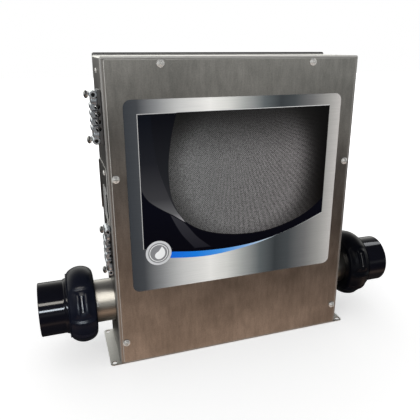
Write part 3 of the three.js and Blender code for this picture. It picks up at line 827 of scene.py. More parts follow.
def label_window():
    """The dark window, and under it a light line along its left and top edges."""
    corners = [(WINDOW_LEFT, 163), (WINDOW_LEFT, WINDOW_TOP - 2), (WINDOW_RIGHT, WINDOW_TOP),
               (WINDOW_RIGHT, 185)]
    window = [Vector(p) for p in corners]
    window += smooth_flat([(WINDOW_RIGHT - 8, 181), *RIM_ARC, (-112, 159.5)], 5)
    halo = [p + Vector((-0.9 if p.x < -120 else 0, 0.9 if p.y > 300 else 0)) for p in window]
    light = printed_tone("label_line", "X", -130, 126, [(0, 0.42), (0.5, 0.7), (1, 0.6)])
    night = printed_tone("label_night", "Z", 150, 334, [
        (0, (0.001, 0.0012, 0.004)), (0.35, (0.0015, 0.002, 0.0065)), (1, (0.002, 0.0025, 0.006))])
    return [(1, light, halo), (2, night, window)]


def label_field():
    """A dark leaf, and on it the grey mesh that reaches the window's upper right corner."""
    leaf = smooth_flat(LEAF_ARC, 6)
    dusk = printed_tone("label_dusk", "Z", 205, 325, [
        (0, (0.028, 0.028, 0.032)), (0.4, (0.014, 0.015, 0.019)), (1, (0.0025, 0.003, 0.006))])
    leaf = leaf[:-12] + [(-40, 200), (-40, 300), (-70, WINDOW_TOP - 1.8)]
    return [(3, dusk, leaf), (4, printed_mesh(), smooth_flat(FIELD_ARC, 6) + [(WINDOW_RIGHT, WINDOW_TOP)])]


def label_crescent():
    """The crescent at the window's left, lighter towards its foot, and the haze that runs on below it."""
    crescent = smooth_flat(LEAF_ARC[:6], 6)
    crescent += smooth_flat([(-87, 204), (-103, 214), (-116, 224), (-122, 232), (WINDOW_LEFT + 0.5, 240)], 5)
    crescent.append((WINDOW_LEFT + 0.5, WINDOW_TOP - 2.2))
    glow = printed_tone("label_glow", "Z", 193, 325, [
        (0, (0.34, 0.33, 0.35)), (0.1, (0.11, 0.11, 0.115)), (0.25, (0.04, 0.04, 0.045)),
        (0.6, (0.012, 0.013, 0.018)), (1, (0.003, 0.0045, 0.009))])
    wedge = smooth_flat([(-91, 205), (-78, 196), (-72, 191), (-56, 171), (-38, 155)], 6)
    wedge += smooth_flat([(-60, 156), (-76, 176), (-84, 190)], 6)
    haze = printed_tone("label_haze", "Z", 155, 205, [(0, (0.012, 0.012, 0.018)), (1, (0.032, 0.032, 0.04))])
    return [(4, glow, crescent), (4, haze, wedge)]


def label_stripe():
    """The stripe along the window's lower rim, blue at the left and silver at the right."""
    stripe = smooth_flat([(125.5, 185), (112, 179), *RIM_ARC], 5)
    stripe += smooth_flat(STRIPE_ARC[::-1] + [(95, 171.5), (125.5, 184)], 5)
    blue = printed_tone("label_blue", "X", -93, 126, [
        (0, (0.0, 0.13, 0.7)), (0.16, (0.004, 0.2, 0.75)), (0.32, (0.06, 0.3, 0.78)),
        (0.47, (0.22, 0.42, 0.76)), (0.6, (0.5, 0.6, 0.7)), (0.75, (0.6, 0.62, 0.62)), (1, (0.5, 0.5, 0.5))])
    return [(4, blue, stripe)]


def front_label():
    """A silver film with a badge and thin layers of ink, which are (level, material, outline)."""
    back, film = LABEL_HIGH.y, LABEL_LOW.y + 5 * INK
    part = Part()
    part.plate(printed_silver(), "xz", film, back, face_outline(LABEL_LOW, LABEL_HIGH, 9, 10), edge=0.05)
    for level, ink, outline in label_window() + label_field() + label_crescent() + label_stripe():
        at = film - INK * (level - 1)
        part.plate(ink, "xz", at - INK, at - INK * 0.4, outline, edge=INK * 0.2)
    badge(part, film - 4 * INK)
    part.finish("cover", "label_film", "front_label", sharp=30)


def badge(part, at):
    """A plain round badge: two rings round a drop."""
    x, z, r = -107.5, 155.5, 16.6
    silver = speckled("badge_silver", (0.8, 0.82, 0.85), 0.3, (0.25, 0.4), 400.0, 0.01, 0.06)
    slate = speckled("badge_slate", (0.3, 0.31, 0.33), 0.3, (0.3, 0.45), 400.0, 0.01, 0.1)
    pale = speckled("badge_pale", (0.95, 0.96, 0.97), 0.1, (0.3, 0.45), 400.0, 0.01, 0.04)
    for radius, hole, material in ((r, 13.4, silver), (13.5, 11.9, slate), (12.0, 10.9, pale)):
        inside = circle(x, z, hole, 72)
        part.plate(material, "xz", at - INK, at, circle(x, z, radius, 72), [inside], edge=0.01)
    part.plate(slate, "xz", at - INK, at, circle(x, z, 11.0, 72), edge=0.01)
    drop = smooth_flat([(x + 4.5, z + 8.5), (x + 7.8, z + 3), (x + 8, z - 3), (x + 4, z - 7.6),
                        (x - 1.5, z - 8.2), (x - 5, z - 4.5), (x - 4, z - 0.5), (x, z + 2.5)], 6)
    part.plate(pale, "xz", at - 1.8 * INK, at - INK, drop, edge=0.01)


# ---------- heater ----------
ELEMENT_X = middle("element_gland_right").x
SENSOR_X = box("sensor_probe_right")[1].x - 7.0
STRAP_REACH = 39.5


def heater_tube():
    """Rolled tube with a faced end, cut for the element and the probes. The ring of weld where each flange
    seats is drawn with the flange.
    """
    low, high = TUBE_LOW, TUBE_HIGH
    bore = TUBE_R - 1.5
    wall = [(low.x, bore, 0.3), (low.x, TUBE_R, 0.4), (high.x, TUBE_R, 0.4), (high.x, bore, 0.3)]
    part = Part()
    part.lathe(tube_steel, "x", AXIS, rounded(wall, 3), 128, closed=True)
    blade = Part()
    for side in (-1, 1):
        for x, hole_r in ((ELEMENT_X, 5.8), (SENSOR_X, 4.2)):
            blade.lathe(tube_steel, "z", (side * x, AXIS.y, AXIS.z), solid_rod(10, 50, hole_r), 32)
    part.cut(blade)
    part.finish("chassis", "tube_steel", "heater_tube", sharp=32)


def weld_bead(part, material, x, radius, size):
    """A rippled ring of weld round the tube."""
    def ripple(along, r, angle):
        return r + 0.16 * size * math.sin(angle * ripples) * (r - radius) / size

    ripples, root = 58, radius - 0.4
    profile = arc_profile((x, radius), size, 0, 180, 8) + [(x - size, root), (x + size, root)]
    part.lathe(material, "x", AXIS, profile, 4 * ripples, warp=ripple, closed=True)


def heater_flange(tag, side):
    low, high = box("heater_flange_" + tag)
    outer, bore = (high.z - low.z) / 2, TUBE_R + 0.05
    profile = rounded([(low.x, bore, 0.2), (low.x, outer, 0.6), (high.x, outer, 0.6), (high.x, bore, 0.2)], 3)
    part = Part()
    part.lathe(tube_steel, "x", AXIS, profile, 96, closed=True)
    inner = low.x if side > 0 else high.x
    weld_bead(part, tube_steel, inner - side * 0.2, TUBE_R, 1.1)
    part.finish("chassis", "tube_steel", "heater_flange_" + tag)


def heating_element():
    """A sheathed rod wound into a long coil, with both ends turned up out of the tube."""
    coil_r, coil_half, turns, rod_r = 16.0, 102.0, 6, 4.0
    points = [(ELEMENT_X, 0, h) for h in (45, 30, 18)] + [(ELEMENT_X - 4, 0, 8)]
    steps = turns * 16
    for i in range(steps + 1):
        a = math.pi / 4 - (TURN * turns - math.pi / 2) * i / steps
        points.append((coil_half * (1 - 2 * i / steps), coil_r * math.cos(a), coil_r * math.sin(a)))
    points += [(4 - ELEMENT_X, 0, 8)] + [(-ELEMENT_X, 0, h) for h in (18, 30, 45)]
    part = Part()
    part.sweep(screw_steel, [Vector(p) + AXIS for p in points], rod_r, 14, 3)
    part.finish("chassis", "screw_steel", "heating_element", sharp=60)


def element_end(tag, side):
    """The gland nut that seals the element, and the threaded terminal above it."""
    centre = Vector((side * ELEMENT_X, AXIS.y, AXIS.z))
    rod_r, body_r = 4.35, 5.5
    part = Part()
    part.plate(brass, "xy", centre.z + 29.4, centre.z + 37.2, hexagon(centre.x, centre.y, 9.4),
               [circle(centre.x, centre.y, rod_r)], edge=0.6)
    collar = [(25, rod_r), (25, body_r), (29.6, body_r), (29.6, rod_r)]
    part.lathe(brass, "z", centre, collar, 32, closed=True)
    part.finish("chassis", "brass", "element_gland_" + tag)

    part = Part()
    stud = [(45.3, 0), (45.3, 4.8), (45.6, 5.0), (46.4, 5.0), (46.6, 4.8), (46.6, 2.4)]
    thread_pitch, turns = 0.8, 12
    for k in range(turns):
        stud += [(47 + thread_pitch * k, 2.4), (47.4 + thread_pitch * k, 2.1)]
    part.lathe(brass, "z", centre, stud + [(57, 1.9), (57, 0)], 32)
    part.plate(brass, "xy", centre.z + 48.4, centre.z + 52, hexagon(centre.x, centre.y, 5.1), edge=0.4)
    part.finish("chassis", "brass", "element_terminal_" + tag)


def bus_strap(tag, side):
    """A bent copper strip from the terminal up to the board."""
    low, high = box("bus_strap_" + tag)
    part = Part()
    bend = rounded([(low.y, low.z, 0.2), (high.y, low.z, 2.4), (high.y, high.z, 0.2),
                    (high.y - SHEET, high.z, 0.2), (high.y - SHEET, low.z + SHEET, 1.2),
                    (low.y, low.z + SHEET, 0.2)], 5)
    part.plate(copper, "yz", low.x, high.x, bend, edge=0.15)
    blade = Part()
    blade.lathe(copper, "z", (side * ELEMENT_X, AXIS.y, low.z), solid_rod(-4, 4, 2.8), 28)
    part.cut(blade)
    part.finish("chassis", "copper", "bus_strap_" + tag, sharp=30)


def sensor_probe(tag, side):
    """Probe, hexagon, boot, lead and plug in one piece."""
    spot = Vector((side * SENSOR_X, AXIS.y, AXIS.z))
    part = Part()
    part.lathe(screw_steel, "z", spot, [(8, 0), (8, 3.1), (8.5, 3.6), (29.5, 3.6), (29.5, 0)], 32)
    part.plate(screw_steel, "xy", spot.z + 29, spot.z + 35, hexagon(spot.x, spot.y, 7), edge=0.5)
    part.lathe(lead_black, "z", spot, [(34.8, 0), (34.8, 3), (37, 2.7), (40, 1.6), (40, 0)], 24)
    plug_in = 15.0
    lead = [(0, AXIS.y, 37), (0, AXIS.y, 48), (4, 6, 58), (12, 15, 70), (plug_in, 19, 74)]
    lead = [(side * (SENSOR_X - inward), y, AXIS.z + up) for inward, y, up in lead]
    part.sweep(lead_black, lead, 1.3, 12)
    plug = side * (SENSOR_X - plug_in)
    part.block(cream_plastic, (plug - 5, 16.5, AXIS.z + 73), (plug + 5, 23.8, AXIS.z + 82), 0.5)
    part.finish("chassis", "screw_steel", "sensor_probe_" + tag)


def tube_saddle(tag):
    """A folded stand whose web is cut round under the tube."""
    low, high = box("tube_saddle_" + tag)
    x = (low.x + high.x) / 2
    angles = [math.pi + math.pi * (k + 0.6) / 25.2 for k in range(25)]
    outline = [(AXIS.y + (TUBE_R + GAP) * math.cos(a), AXIS.z + (TUBE_R + GAP) * math.sin(a)) for a in angles]
    outline += [(high.y - 7, high.z - 2.4), (high.y - 7, low.z + 1), (low.y + 7, low.z + 1),
                (low.y + 7, high.z - 2.4)]
    part = Part()
    # The saddle in the walls' darkened steel: painted shade.
    part.plate(wall_steel, "yz", x - 1.5, x + 1.5, outline, edge=0.3)
    part.block(wall_steel, (low.x, AXIS.y - 30, low.z), (high.x, AXIS.y + 30, low.z + 2.2), 0.4)
    for end in (-1, 1):
        a, b = sorted((AXIS.y + end * 29.2, AXIS.y + end * STRAP_REACH))
        part.block(wall_steel, (x - 6, a, high.z - 2.3), (x + 6, b, high.z), 0.4)
    part.finish("chassis", "stainless", "tube_saddle_" + tag)


def tube_strap(tag):
    """A hoop over the tube with an ear and a bolt at each side."""
    low, high = box("tube_saddle_" + tag)
    x, r, foot = (low.x + high.x) / 2, TUBE_R + GAP, AXIS.z - 0.2
    angles = [math.pi * k / 32 for k in range(33)]
    hoop = [(AXIS.y + (r + SHEET) * math.cos(a), foot + (r + SHEET) * math.sin(a)) for a in angles]
    hoop += [(AXIS.y + r * math.cos(a), foot + r * math.sin(a)) for a in angles[::-1]]
    part = Part()
    part.plate(screw_steel, "yz", x - 6, x + 6, hoop, edge=0.2)
    for end in (-1, 1):
        a, b = sorted((AXIS.y + end * (r + 0.6), AXIS.y + end * STRAP_REACH))
        part.block(screw_steel, (x - 6, a, foot - SHEET), (x + 6, b, foot), 0.25)
        bolt = hexagon(x, AXIS.y + end * 35, 3.6)
        part.plate(screw_steel, "xy", foot - 0.2, foot + 2.6, bolt, edge=0.35)
    part.finish("chassis", "screw_steel", "tube_strap_" + tag)


# ---------- pipe unions ----------
LATCH = math.radians(27)
RIB_PITCH = math.radians(30)
NUT_MID, NUT_R = 206, 50.6


def step(value, low, high):
    t = min(max((value - low) / (high - low), 0.0), 1.0)
    return t * t * (3 - 2 * t)


def hump(value, half, soft):
    """1 within half of zero, falling to 0 over soft."""
    return 1 - step(abs(value), half, half + soft)


def ledge(off):
    """A rib with a sloping upper side and a steep lower one."""
    degrees = math.degrees(off)
    return min(max(1 - (degrees - 1) / 4.2, 0.0), 1.0) if degrees > 0 else 1 - step(-degrees, 1.0, 2.8)


def nut_skin(reach, radius, angle):
    """The nut's outside: on each half a latch with a slit between two ridges, and two grip ribs."""
    body = step(radius, 39, 46) * hump(reach - NUT_MID, 9.5, 7)
    grip = step(radius, 39, 44) * hump(reach - NUT_MID, 12.5, 5)
    off = (angle - LATCH + math.pi / 2) % math.pi - math.pi / 2
    rib = max(ledge(off + RIB_PITCH), ledge(off + 2 * RIB_PITCH))
    window = hump(off, math.radians(14), math.radians(5))
    ridges = hump(reach - 200.2, 1.0, 2.4) + hump(reach - 211.8, 1.0, 2.4)
    pocket = hump(off, math.radians(11.5), math.radians(1.5)) * hump(reach - NUT_MID, 1.3, 1.0)
    pad = hump(off, math.radians(19), math.radians(2)) * hump(reach - NUT_MID, 9, 2)
    sunk = step(off, math.radians(-88), math.radians(-78))
    sunk *= 1 - step(off, math.radians(19), math.radians(27))
    raised = grip * (1.9 * rib - 1.7 * sunk) + body * (window * 1.5 * ridges + 0.6 * pad - 2.4 * pocket)
    return min(radius + raised, 51)


def nut_section(inner, outer):
    """(along, radius) points: a rounded barrel, the lip at its outer end, the bore and the inner wall."""
    lip_r, bore = 42.5, 37.3
    centre, half = (inner + outer - 1.5) / 2, (outer - inner - 1.5) / 2
    barrel = []
    for k in range(49):
        u = -math.cos(math.pi * k / 48)
        shoulder, bulge = (37.0, 0.42) if u < 0 else (lip_r - 0.6, 0.75)
        barrel.append((centre + half * u, shoulder + (NUT_R - shoulder) * (1 - min(u * u, 1)) ** bulge))
    front = [(outer - 1.2, lip_r), (outer - 0.5, lip_r), (outer, lip_r - 0.5)]
    return [(inner, TUBE_R + 0.45), *barrel, *front, (outer, bore + 0.5), (outer - 0.5, bore),
            (inner + 1.7, bore), (inner + 1.7, TUBE_R + 0.45)]


def union_nut(tag, side):
    """Two halves with a latch each. The front latch's slit shows a bar between two rivets."""
    low, high = box(f"union_nut_{tag}_front")
    section = nut_section(*sorted((abs(low.x), abs(high.x))))
    gap = math.asin(GAP / 2 / NUT_R)
    for name, start in (("front", -math.pi / 2), ("back", math.pi / 2)):
        part = Part()
        points = [(side * along, radius) for along, radius in section]
        part.lathe(nut_black, "x", AXIS, points, 180, arc=(start + gap, start + math.pi - gap),
                   warp=lambda along, radius, angle: nut_skin(abs(along), radius, angle), closed=True)
        if name == "front":
            turns = [LATCH + math.radians(turn) for turn in (-11.2, -5.6, 0, 5.6, 11.2)]
            bar = [AXIS + Vector((side * NUT_MID, -49.3 * math.cos(a), 49.3 * math.sin(a))) for a in turns]
            part.sweep(pin_grey, bar, 0.6, 10, 4)
            pin(part, side, turns[0])
            pin(part, side, turns[-1])
        part.finish("nut_" + tag, "nut_black", f"union_nut_{tag}_{name}", sharp=50)


def pin(part, side, angle):
    """A small polished rivet at one end of the latch's slit."""
    r, ball_r = 49.6, 1.25
    spot = AXIS + Vector((side * NUT_MID, -r * math.cos(angle), r * math.sin(angle)))
    rings, turns = [], [TURN * j / 16 for j in range(16)]
    for k in range(9):
        lift = math.pi * (k + 0.5) / 9
        wide, up = math.sin(lift), math.cos(lift)
        rings.append([spot + ball_r * Vector((wide * math.cos(a), wide * math.sin(a), up)) for a in turns])
    part.skin(rings, pin_grey)


def tailpiece(tag, side):
    """Slip socket with a collar behind the nut and a seat for the ring."""
    low, high = box("tailpiece_" + tag)
    near, far = sorted((abs(low.x), abs(high.x)))
    tail_r, collar_r = 35.15, 37.0
    socket_r, water_r, stop = 30.2, 26.0, 213.0
    profile = [(near, water_r), (near, 29.2), (near + 2.9, 29.2), (near + 2.9, 33.2), (near, 33.2),
               (near, collar_r - 0.4), (near + 0.4, collar_r), (224.0, collar_r)]
    profile += arc_profile((224.0, collar_r - 0.8), 0.8, 90, 30, 4)
    profile += arc_profile((228.6, tail_r + 2.6), 2.6, 215, 270, 6)
    profile += [(228.9, tail_r), (246.0, tail_r), (far - 1.3, tail_r)]
    profile += arc_profile((far - 1.0, tail_r - 1.0), 1.0, 90, 0, 5)
    profile += [(far, socket_r + 0.9), (far - 0.9, socket_r), (stop, socket_r - 0.2), (stop, water_r)]
    part = Part()
    part.lathe(gloss_black, "x", AXIS, [(side * a, r) for a, r in profile], 128, closed=True)
    part.finish("tail_" + tag, "black_gloss", "tailpiece_" + tag, sharp=40)


def union_ring(tag):
    low, high = box("union_ring_" + tag)
    centre, ring_r, cord_r = (low.x + high.x) / 2, 31.2, 1.3
    section = [(centre + cord_r * math.cos(a), ring_r + cord_r * math.sin(a))
               for a in [TURN * k / 16 for k in range(16)]]
    part = Part()
    part.lathe(ring_rubber, "x", AXIS, section, 72, closed=True)
    part.finish("tail_" + tag, "ring_rubber", "union_ring_" + tag, sharp=60)


# ---------- cord clamps ----------
class Clamp:
    """A cast bar of four arches over four cord channels, held by a screw beside the boss at each end."""

    def __init__(self, tag, pitch, groove, cover):
        self.tag, self.pitch, self.groove = tag, pitch, groove
        self.base_low, self.base_high = box(tag + "_clamp_base")
        self.bar_low, self.bar_high = box(tag + "_clamp_bar")
        self.outer = self.bar_low.x + cover
        self.ends = [middle(f"{tag}_clamp_screw_{tip}") for tip in ("bottom", "top")]
        self.mid, self.half = (self.ends[0].z + self.ends[1].z) / 2, (self.ends[1].z - self.ends[0].z) / 2
        self.rows = [self.mid + (k - 1.5) * pitch for k in range(4)]
        self.base()
        self.bar()
        for tip, spot in zip(("bottom", "top"), self.ends):
            self.screw(f"{tag}_clamp_screw_{tip}", spot)

    def liners(self, part, at, depth, ends):
        """Black insides for the upper clamp's cord channels, which open at x = at: painted shade."""
        if self.tag != "upper":
            return
        angles = [math.pi * (j + 0.5) / 11 for j in range(11)]
        for z in self.rows:
            outside, inside = [[(at + depth * k * math.sin(a), z - self.groove * k * math.cos(a))
                                for a in angles] for k in (1.04, 0.92)]
            part.plate(deep_bore, "xz", *ends, outside + inside[::-1], edge=0.05)

    def base(self):
        """A flat strip on the wall with a half-round channel for each cord."""
        low, high = self.base_low, self.base_high
        part = Part()
        outline = [(high.x, high.z), (high.x, low.z), (low.x, low.z)]
        depth = min(self.groove, high.x - low.x - 0.5)
        for z in self.rows:
            outline += [(low.x + depth * math.sin(a), z - self.groove * math.cos(a))
                        for a in [math.pi * k / 8 for k in range(9)]]
        outline.append((low.x, high.z))
        # The strip in darkened zinc: painted shade.
        part.plate(base_zinc, "xz", low.y, high.y, outline, edge=min(0.35, (high.x - low.x) / 3))
        blade = Part()
        for spot in self.ends:
            blade.lathe(base_zinc, "x", (0, spot.y, spot.z), solid_rod(low.x - 1, high.x + 1, 2.4), 28)
        part.cut(blade)
        self.liners(part, low.x, depth, (low.y + 0.6, high.y - 0.6))
        part.finish("chassis", "clamp_zinc", self.tag + "_clamp_base")

    def bar(self):
        """Four arches on a web of darkened zinc, painted shade, with a boss at each end and an arm from it to
        the arches.
        """
        low, high, pitch, outer = self.bar_low, self.bar_high, self.pitch, self.outer
        front, back, inner = low.y + 0.6, high.y - 0.6, high.x
        hollow = self.groove * 1.25
        part = Part()
        for z in self.rows:
            arch = rounded([(inner, z + pitch * 0.45, 0.3), (outer, z + pitch * 0.45, 2.2),
                            (outer, z - pitch * 0.45, 2.2), (inner, z - pitch * 0.45, 0.3)], 6)
            arch += [(inner - hollow * math.sin(a), z - self.groove * math.cos(a))
                     for a in [math.pi * (k + 0.3) / 8.6 for k in range(9)]]
            part.plate(clamp_zinc, "xz", front, back, arch, edge=0.9)
        self.liners(part, inner, -hollow, (front + 0.9, back - 0.9))
        boss_r = (high.z - low.z) / 2 - self.half
        reach = self.half - boss_r * 0.6
        # The web behind the arches, in darkened zinc: painted shade.
        part.block(base_zinc, (outer + 1.5, front + 1.3, self.mid - reach),
                   (inner - hollow - 0.5, back - 1.3, self.mid + reach), 0.4)
        boss_x = box(self.tag + "_clamp_screw_top")[0].x + 5.2 + GAP + boss_r
        for spot in self.ends:
            self.boss(part, boss_x, boss_r, spot.z)
            way = 1 if spot.z < self.mid else -1
            near_row = self.rows[0 if way > 0 else -1]
            z0, z1 = sorted((spot.z + way * boss_r * 0.75, near_row - way * pitch * 0.4))
            part.block(clamp_zinc, (boss_x - boss_r * 0.55, front + 0.4, z0), (inner, back - 0.4, z1), 0.6)
        part.finish(self.tag + "_clamp", "clamp_zinc", self.tag + "_clamp_bar", sharp=45)

    def boss(self, part, x, radius, z):
        """A ring with a blind hole in each face, filled with black: painted shade."""
        low, high, bore = self.bar_low.y, self.bar_high.y, radius * 0.5
        ring = rounded([(low, bore, 0.3), (low, radius, 0.7), (high, radius, 0.7), (high, bore, 0.3)], 4)
        part.lathe(clamp_zinc, "y", (x, 0, z), ring, 40, closed=True)
        # A black rod in the hole: painted shade.
        part.lathe(deep_bore, "y", (x, 0, z), solid_rod(low + 0.9, high - 0.9, bore + 0.2), 32)

    def screw(self, name, spot):
        """A domed head with a driver's recess, a washer and a plain shank."""
        low, high = box(name)
        seat, r, shank_r = low.x + 3.6, (high.z - low.z) / 2, 1.9
        head = [(low.x, 0), (low.x + 0.1, 1.8), (low.x + 0.6, 3.1), (low.x + 1.7, r - 0.25), (seat - 0.6, r),
                (seat - 0.1, r), (seat, r - 0.2), (seat, shank_r), (seat, 0)]
        shank = [(seat - 0.2, 0), (seat - 0.2, shank_r), (high.x - 0.6, shank_r), (high.x, 1.4), (high.x, 0)]
        washer = [(seat + 0.1, 2.0), (seat + 0.1, 3.9), (seat + 1.3, 3.9), (seat + 1.3, 2.0)]
        place = (0, spot.y, spot.z)
        part = Part()
        part.lathe(head_steel, "x", place, head, 48)
        part.cut(cross_recess("x", low.x, y=spot.y, z=spot.z))
        part.lathe(head_steel, "x", place, shank, 24)
        part.lathe(screw_steel, "x", place, washer, 32, closed=True)
        part.finish(self.tag + "_clamp", "screw_steel", name, sharp=30)


# ---------- electronics ----------
def can(part, material, x, z, radius, length, at):
    """An upright capacitor can standing on the board's front face, at."""
    top = at - length
    profile = [(top, 0), (top, radius - 0.6), (top + 0.2, radius - 0.1), (top + 0.9, radius),
               (at - 2.6, radius), (at - 2.2, radius - 0.35), (at - 1.7, radius), (at, radius), (at, 0)]
    part.lathe(material, "y", (x, 0, z), profile, 40)


def main_board():
    """Green board with capacitors, chips, headers with pins, and rows of small parts."""
    low, high = box("main_board")
    part = Part()
    holes = [circle(middle(f"board_standoff_{i + 1}").x, middle(f"board_standoff_{i + 1}").z, 2.0, 20)
             for i in range(4)]
    part.plate(board_mask, "xz", low.y, high.y, face_outline(low, high, 3, 5), holes, edge=0.15)
    at = low.y + 0.05
    for x, z, r, length in ((-30, 250, 6, 14), (-14, 250, 6, 14), (-22, 236, 4, 9),
                            (96, 226, 5, 12), (108, 238, 4, 9)):
        can(part, relay_black, x, z, r, length, at)
    for x0, z0, wide, tall, deep in ((-26, 272, 30, 30, 2.6), (30, 250, 22, 14, 3), (66, 250, 10, 22, 3),
                                     (84, 262, 18, 8, 3), (-60, 250, 12, 20, 3)):
        part.block(relay_black, (x0, at - deep, z0), (x0 + wide, at, z0 + tall), 0.3)
    for k in range(6):
        x = -34 + k * 26
        part.block(cream_plastic, (x, at - 7, 334), (x + 16, at, 344), 0.5)
        for j in range(4):
            part.block(brass, (x + 1.9 + 3.6 * j, at - 9, 338.4), (x + 2.7 + 3.6 * j, at - 6, 339.2), 0.15)
    for k in range(14):
        x, z = 22 + 7.5 * k, 300 + 9 * (k % 3)
        part.block(cream_plastic, (x, at - 1.2, z), (x + 3.4, at, z + 1.8), 0.2)
        part.block(screw_steel, (x - 0.5, at - 1.3, z - 0.05), (x + 0.4, at, z + 1.85), 0.15)
        part.block(screw_steel, (x + 3.0, at - 1.3, z - 0.05), (x + 3.9, at, z + 1.85), 0.15)
    part.finish("chassis", "board_green", "main_board")


def standoff(name):
    low, high = box(name)
    centre = (low + high) / 2
    r = (high.z - low.z) / 2
    profile = rounded([(low.y, 1.4, 0), (low.y, r, 0.4), (high.y, r, 0.4), (high.y, 1.4, 0)], 3)
    part = Part()
    part.lathe(cream_plastic, "y", (centre.x, 0, centre.z), profile, 32, closed=True)
    part.finish("chassis", "white_plastic", name)


def transformer():
    """Stacked sheets round a taped winding on a bobbin."""
    low, high = box("transformer")
    core_front, core_back = low.y + 14, high.y - 6
    part = Part()
    sheets = 12
    pitch = (core_back - core_front) / sheets
    for k in range(sheets):
        y = core_front + pitch * k
        trim = 0.15 * (k % 2)
        outline = rectangle(low.x + trim, high.x - trim, low.z + trim, high.z - trim, 0.8)
        part.plate(iron_sheet, "xz", y, y + pitch - 0.12, rounded(outline, 3), edge=0.2)
    part.block(iron_sheet, (low.x + 1, core_front, low.z + 1), (high.x - 1, core_back, high.z - 1), 0.3)
    coil = (low.x + 10, high.x - 10, low.z + 6, high.z - 6)
    part.block(cream_plastic, (coil[0], low.y, coil[2]), (coil[1], low.y + 1.6, coil[3]), 0.5)
    part.block(cream_plastic, (coil[0], high.y - 1.8, coil[2]), (coil[1], high.y, coil[3]), 0.5)
    wound = rounded(rectangle(coil[0] + 1.5, coil[1] - 1.5, coil[2] + 1.5, coil[3] - 1.5, 5), 6)
    part.plate(amber_tape, "xz", low.y + 1.5, high.y - 1.7, wound, edge=0.6)
    part.finish("chassis", "transformer_iron", "transformer")


def relay(name):
    """A sealed block with a vent on its lid."""
    low, high = box(name)
    part = Part()
    part.block(relay_black, (low.x, low.y, low.z), (high.x, high.y - 2.2, high.z), 0.8)
    foot_low, foot_high = (low.x + 0.5, high.y - 2.4, low.z + 0.5), (high.x - 0.5, high.y, high.z - 0.5)
    part.block(relay_black, foot_low, foot_high, 0.3)
    vent = [(low.y - 0.5, 0), (low.y - 0.5, 0.9), (low.y + 0.3, 1.3), (low.y + 0.3, 0)]
    part.lathe(relay_black, "y", (high.x - 4, 0, high.z - 4), vent, 20)
    part.finish("chassis", "relay_black", name)


def terminal_block():
    """Clamping screws on plates, with a rib on each side of each one."""
    low, high = box("terminal_block")
    part = Part()
    part.block(cream_plastic, (low.x, low.y + 5, low.z), (high.x, high.y, high.z), 0.6)
    ribs = 5
    pitch = (high.z - low.z - 2) / (ribs - 1)
    for k in range(ribs):
        z = low.z + pitch * k
        part.block(cream_plastic, (low.x, low.y, z), (high.x, low.y + 6, z + 2), 0.4)
    x = (low.x + high.x) / 2
    for k in range(ribs - 1):
        z = low.z + 1 + pitch * (k + 0.5)
        profile = [(low.y + 2.2, 0), (low.y + 2.2, 2.9), (low.y + 2.7, 3.3), (low.y + 4.6, 3.3),
                   (low.y + 5.3, 3.3), (low.y + 5.3, 0)]
        part.lathe(screw_steel, "y", (x, 0, z), profile, 32)
        part.block(screw_steel, (low.x + 2, low.y + 4.6, z - 4.4), (high.x - 2, low.y + 5.4, z + 4.4), 0.25)
    part.finish("chassis", "white_plastic", "terminal_block")


def fuse_block():
    """A glass fuse in two brass clips."""
    low, high = box("fuse_block")
    y, z = low.y + 5, (low.z + high.z) / 2
    cap = [(0, 0), (0, 4.4), (0.4, 4.8), (5.6, 4.8), (6, 4.4), (6, 0)]
    part = Part()
    part.block(relay_black, (low.x, low.y + 9, low.z), (high.x, high.y, high.z), 0.6)
    for x in (low.x + 5, high.x - 11):
        part.block(brass, (x, y - 4.2, z - 5.6), (x + 6, low.y + 10, z - 4.8), 0.2)
        part.block(brass, (x, y - 4.2, z + 4.8), (x + 6, low.y + 10, z + 5.6), 0.2)
        part.lathe(screw_steel, "x", (x, y, z), cap, 36)
    part.lathe(glass, "x", (0, y, z), solid_rod(low.x + 10.8, high.x - 10.8, 4.3), 36)
    part.finish("chassis", "relay_black", "fuse_block")


def supply_lead(name, i, material, slot):
    """An insulated lead from the terminal block to a relay."""
    z, x = 272 + i * 17.5, 18 + i * 36
    route = [(-99.6, 6, z), (-86, 0, z), (-60, -8, z - 6), (-20, -12, z - 14), (x - 12, -10, z - 26),
             (x, 0, 236), (x, 10, 216), (x, 12, 204.4)]
    part = Part()
    part.sweep(material, route, 1.7, 16)
    part.finish("chassis", slot, name, sharp=60)


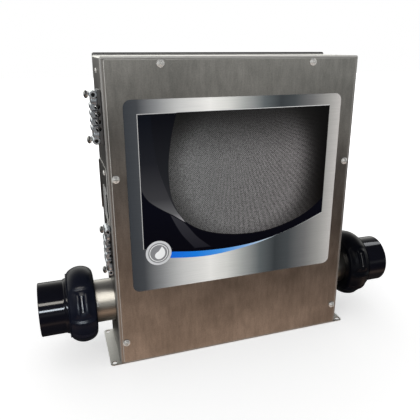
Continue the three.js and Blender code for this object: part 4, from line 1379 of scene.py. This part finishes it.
# ---------- build ----------
def make_floor():
    """A pale floor that glows, about half as much near the object as away from it, where it turns white:
    painted light. No glossy ray sees it.
    """
    size, drop = 6.0, 0.0005
    mesh = bpy.data.meshes.new("floor")
    corners = [(-size, -size, -drop), (size, -size, -drop), (size, size, -drop), (-size, size, -drop)]
    mesh.from_pydata(corners, [], [(0, 1, 2, 3)])
    f = Finish("floor_pale", 0.9, roughness=0.9)
    f.wire("Base Color", f.blend(f.noise(2.0), 0.9, 0.93))
    far = f.node("VectorMath", {0: f.place}, operation="LENGTH").outputs["Value"]
    f.shader.inputs["Emission Color"].default_value = (1, 1, 1, 1)
    # The floor's own glow, weaker near the object: painted light.
    f.wire("Emission Strength", f.span(far, 0.2, 1.0, 0.48, 1.0, True))
    mesh.materials.append(f.material)
    floor = bpy.data.objects.new("floor", mesh)
    bpy.context.scene.collection.objects.link(floor)
    floor.visible_glossy = False


def pieces_named(*starts):
    return [piece for piece in bpy.data.objects if piece.name.startswith(starts)]


make_camera()
make_world()
make_floor()
make_light("ceiling", (-1.3, -1.2, 1.6), (0.5, 0.5), 2.5, (1.0, 0.95, 0.86))
make_light("window", (-1.7, -1.5, 0.8), (0.6, 0.5), 3.1, (0.84, 0.92, 1.0))
bpy.context.scene.view_settings.view_transform = "Standard"

base_plate()
wrap_shell()
back_panel()
front_cover()
front_label()
for screw_name, screw_centre in zip(SCREW_NODES, SCREW_CENTRES):
    cover_screw(screw_name, screw_centre)
side_plate()
side_rivet("side_rivet_upper")
side_rivet("side_rivet_lower")

heater_tube()
heating_element()
for end_tag, end_side in (("left", -1), ("right", 1)):
    heater_flange(end_tag, end_side)
    element_end(end_tag, end_side)
    bus_strap(end_tag, end_side)
    sensor_probe(end_tag, end_side)
    tube_saddle(end_tag)
    tube_strap(end_tag)
    tailpiece(end_tag, end_side)
    union_ring(end_tag)
    union_nut(end_tag, end_side)
Clamp("upper", pitch=8.4, groove=2.6, cover=1.8)
Clamp("lower", pitch=9.1, groove=2.0, cover=0.3)

main_board()
for number in range(4):
    standoff(f"board_standoff_{number + 1}")
transformer()
for number in range(3):
    relay(f"relay_{number + 1}")
terminal_block()
fuse_block()
supply_lead("supply_lead_line", 1, lead_red, "lead_red")
supply_lead("supply_lead_neutral", 0, lead_black, "lead_black")

# these lamps shine only on the pieces named
glossy = pieces_named("union_nut_left", "tailpiece")
make_light("long_ceiling", (-0.45, -1.25, 1.5), (1.3, 0.32), 36, (1.0, 0.95, 0.86), glossy)
make_light("long_window", (-0.6, -1.85, 0.75), (1.5, 0.22), 66, (0.84, 0.92, 1.0), glossy)
make_light("far_lamp", (1.14, 0.32, 1.36), (0.5, 0.2), 3.0, (0.95, 0.97, 1.0), glossy)
make_light("tube_lamp", (-0.35, -1.18, 1.35), (0.5, 1.7), 11.5, (1.0, 0.97, 0.91),
           pieces_named("heater_tube", "heater_flange"))
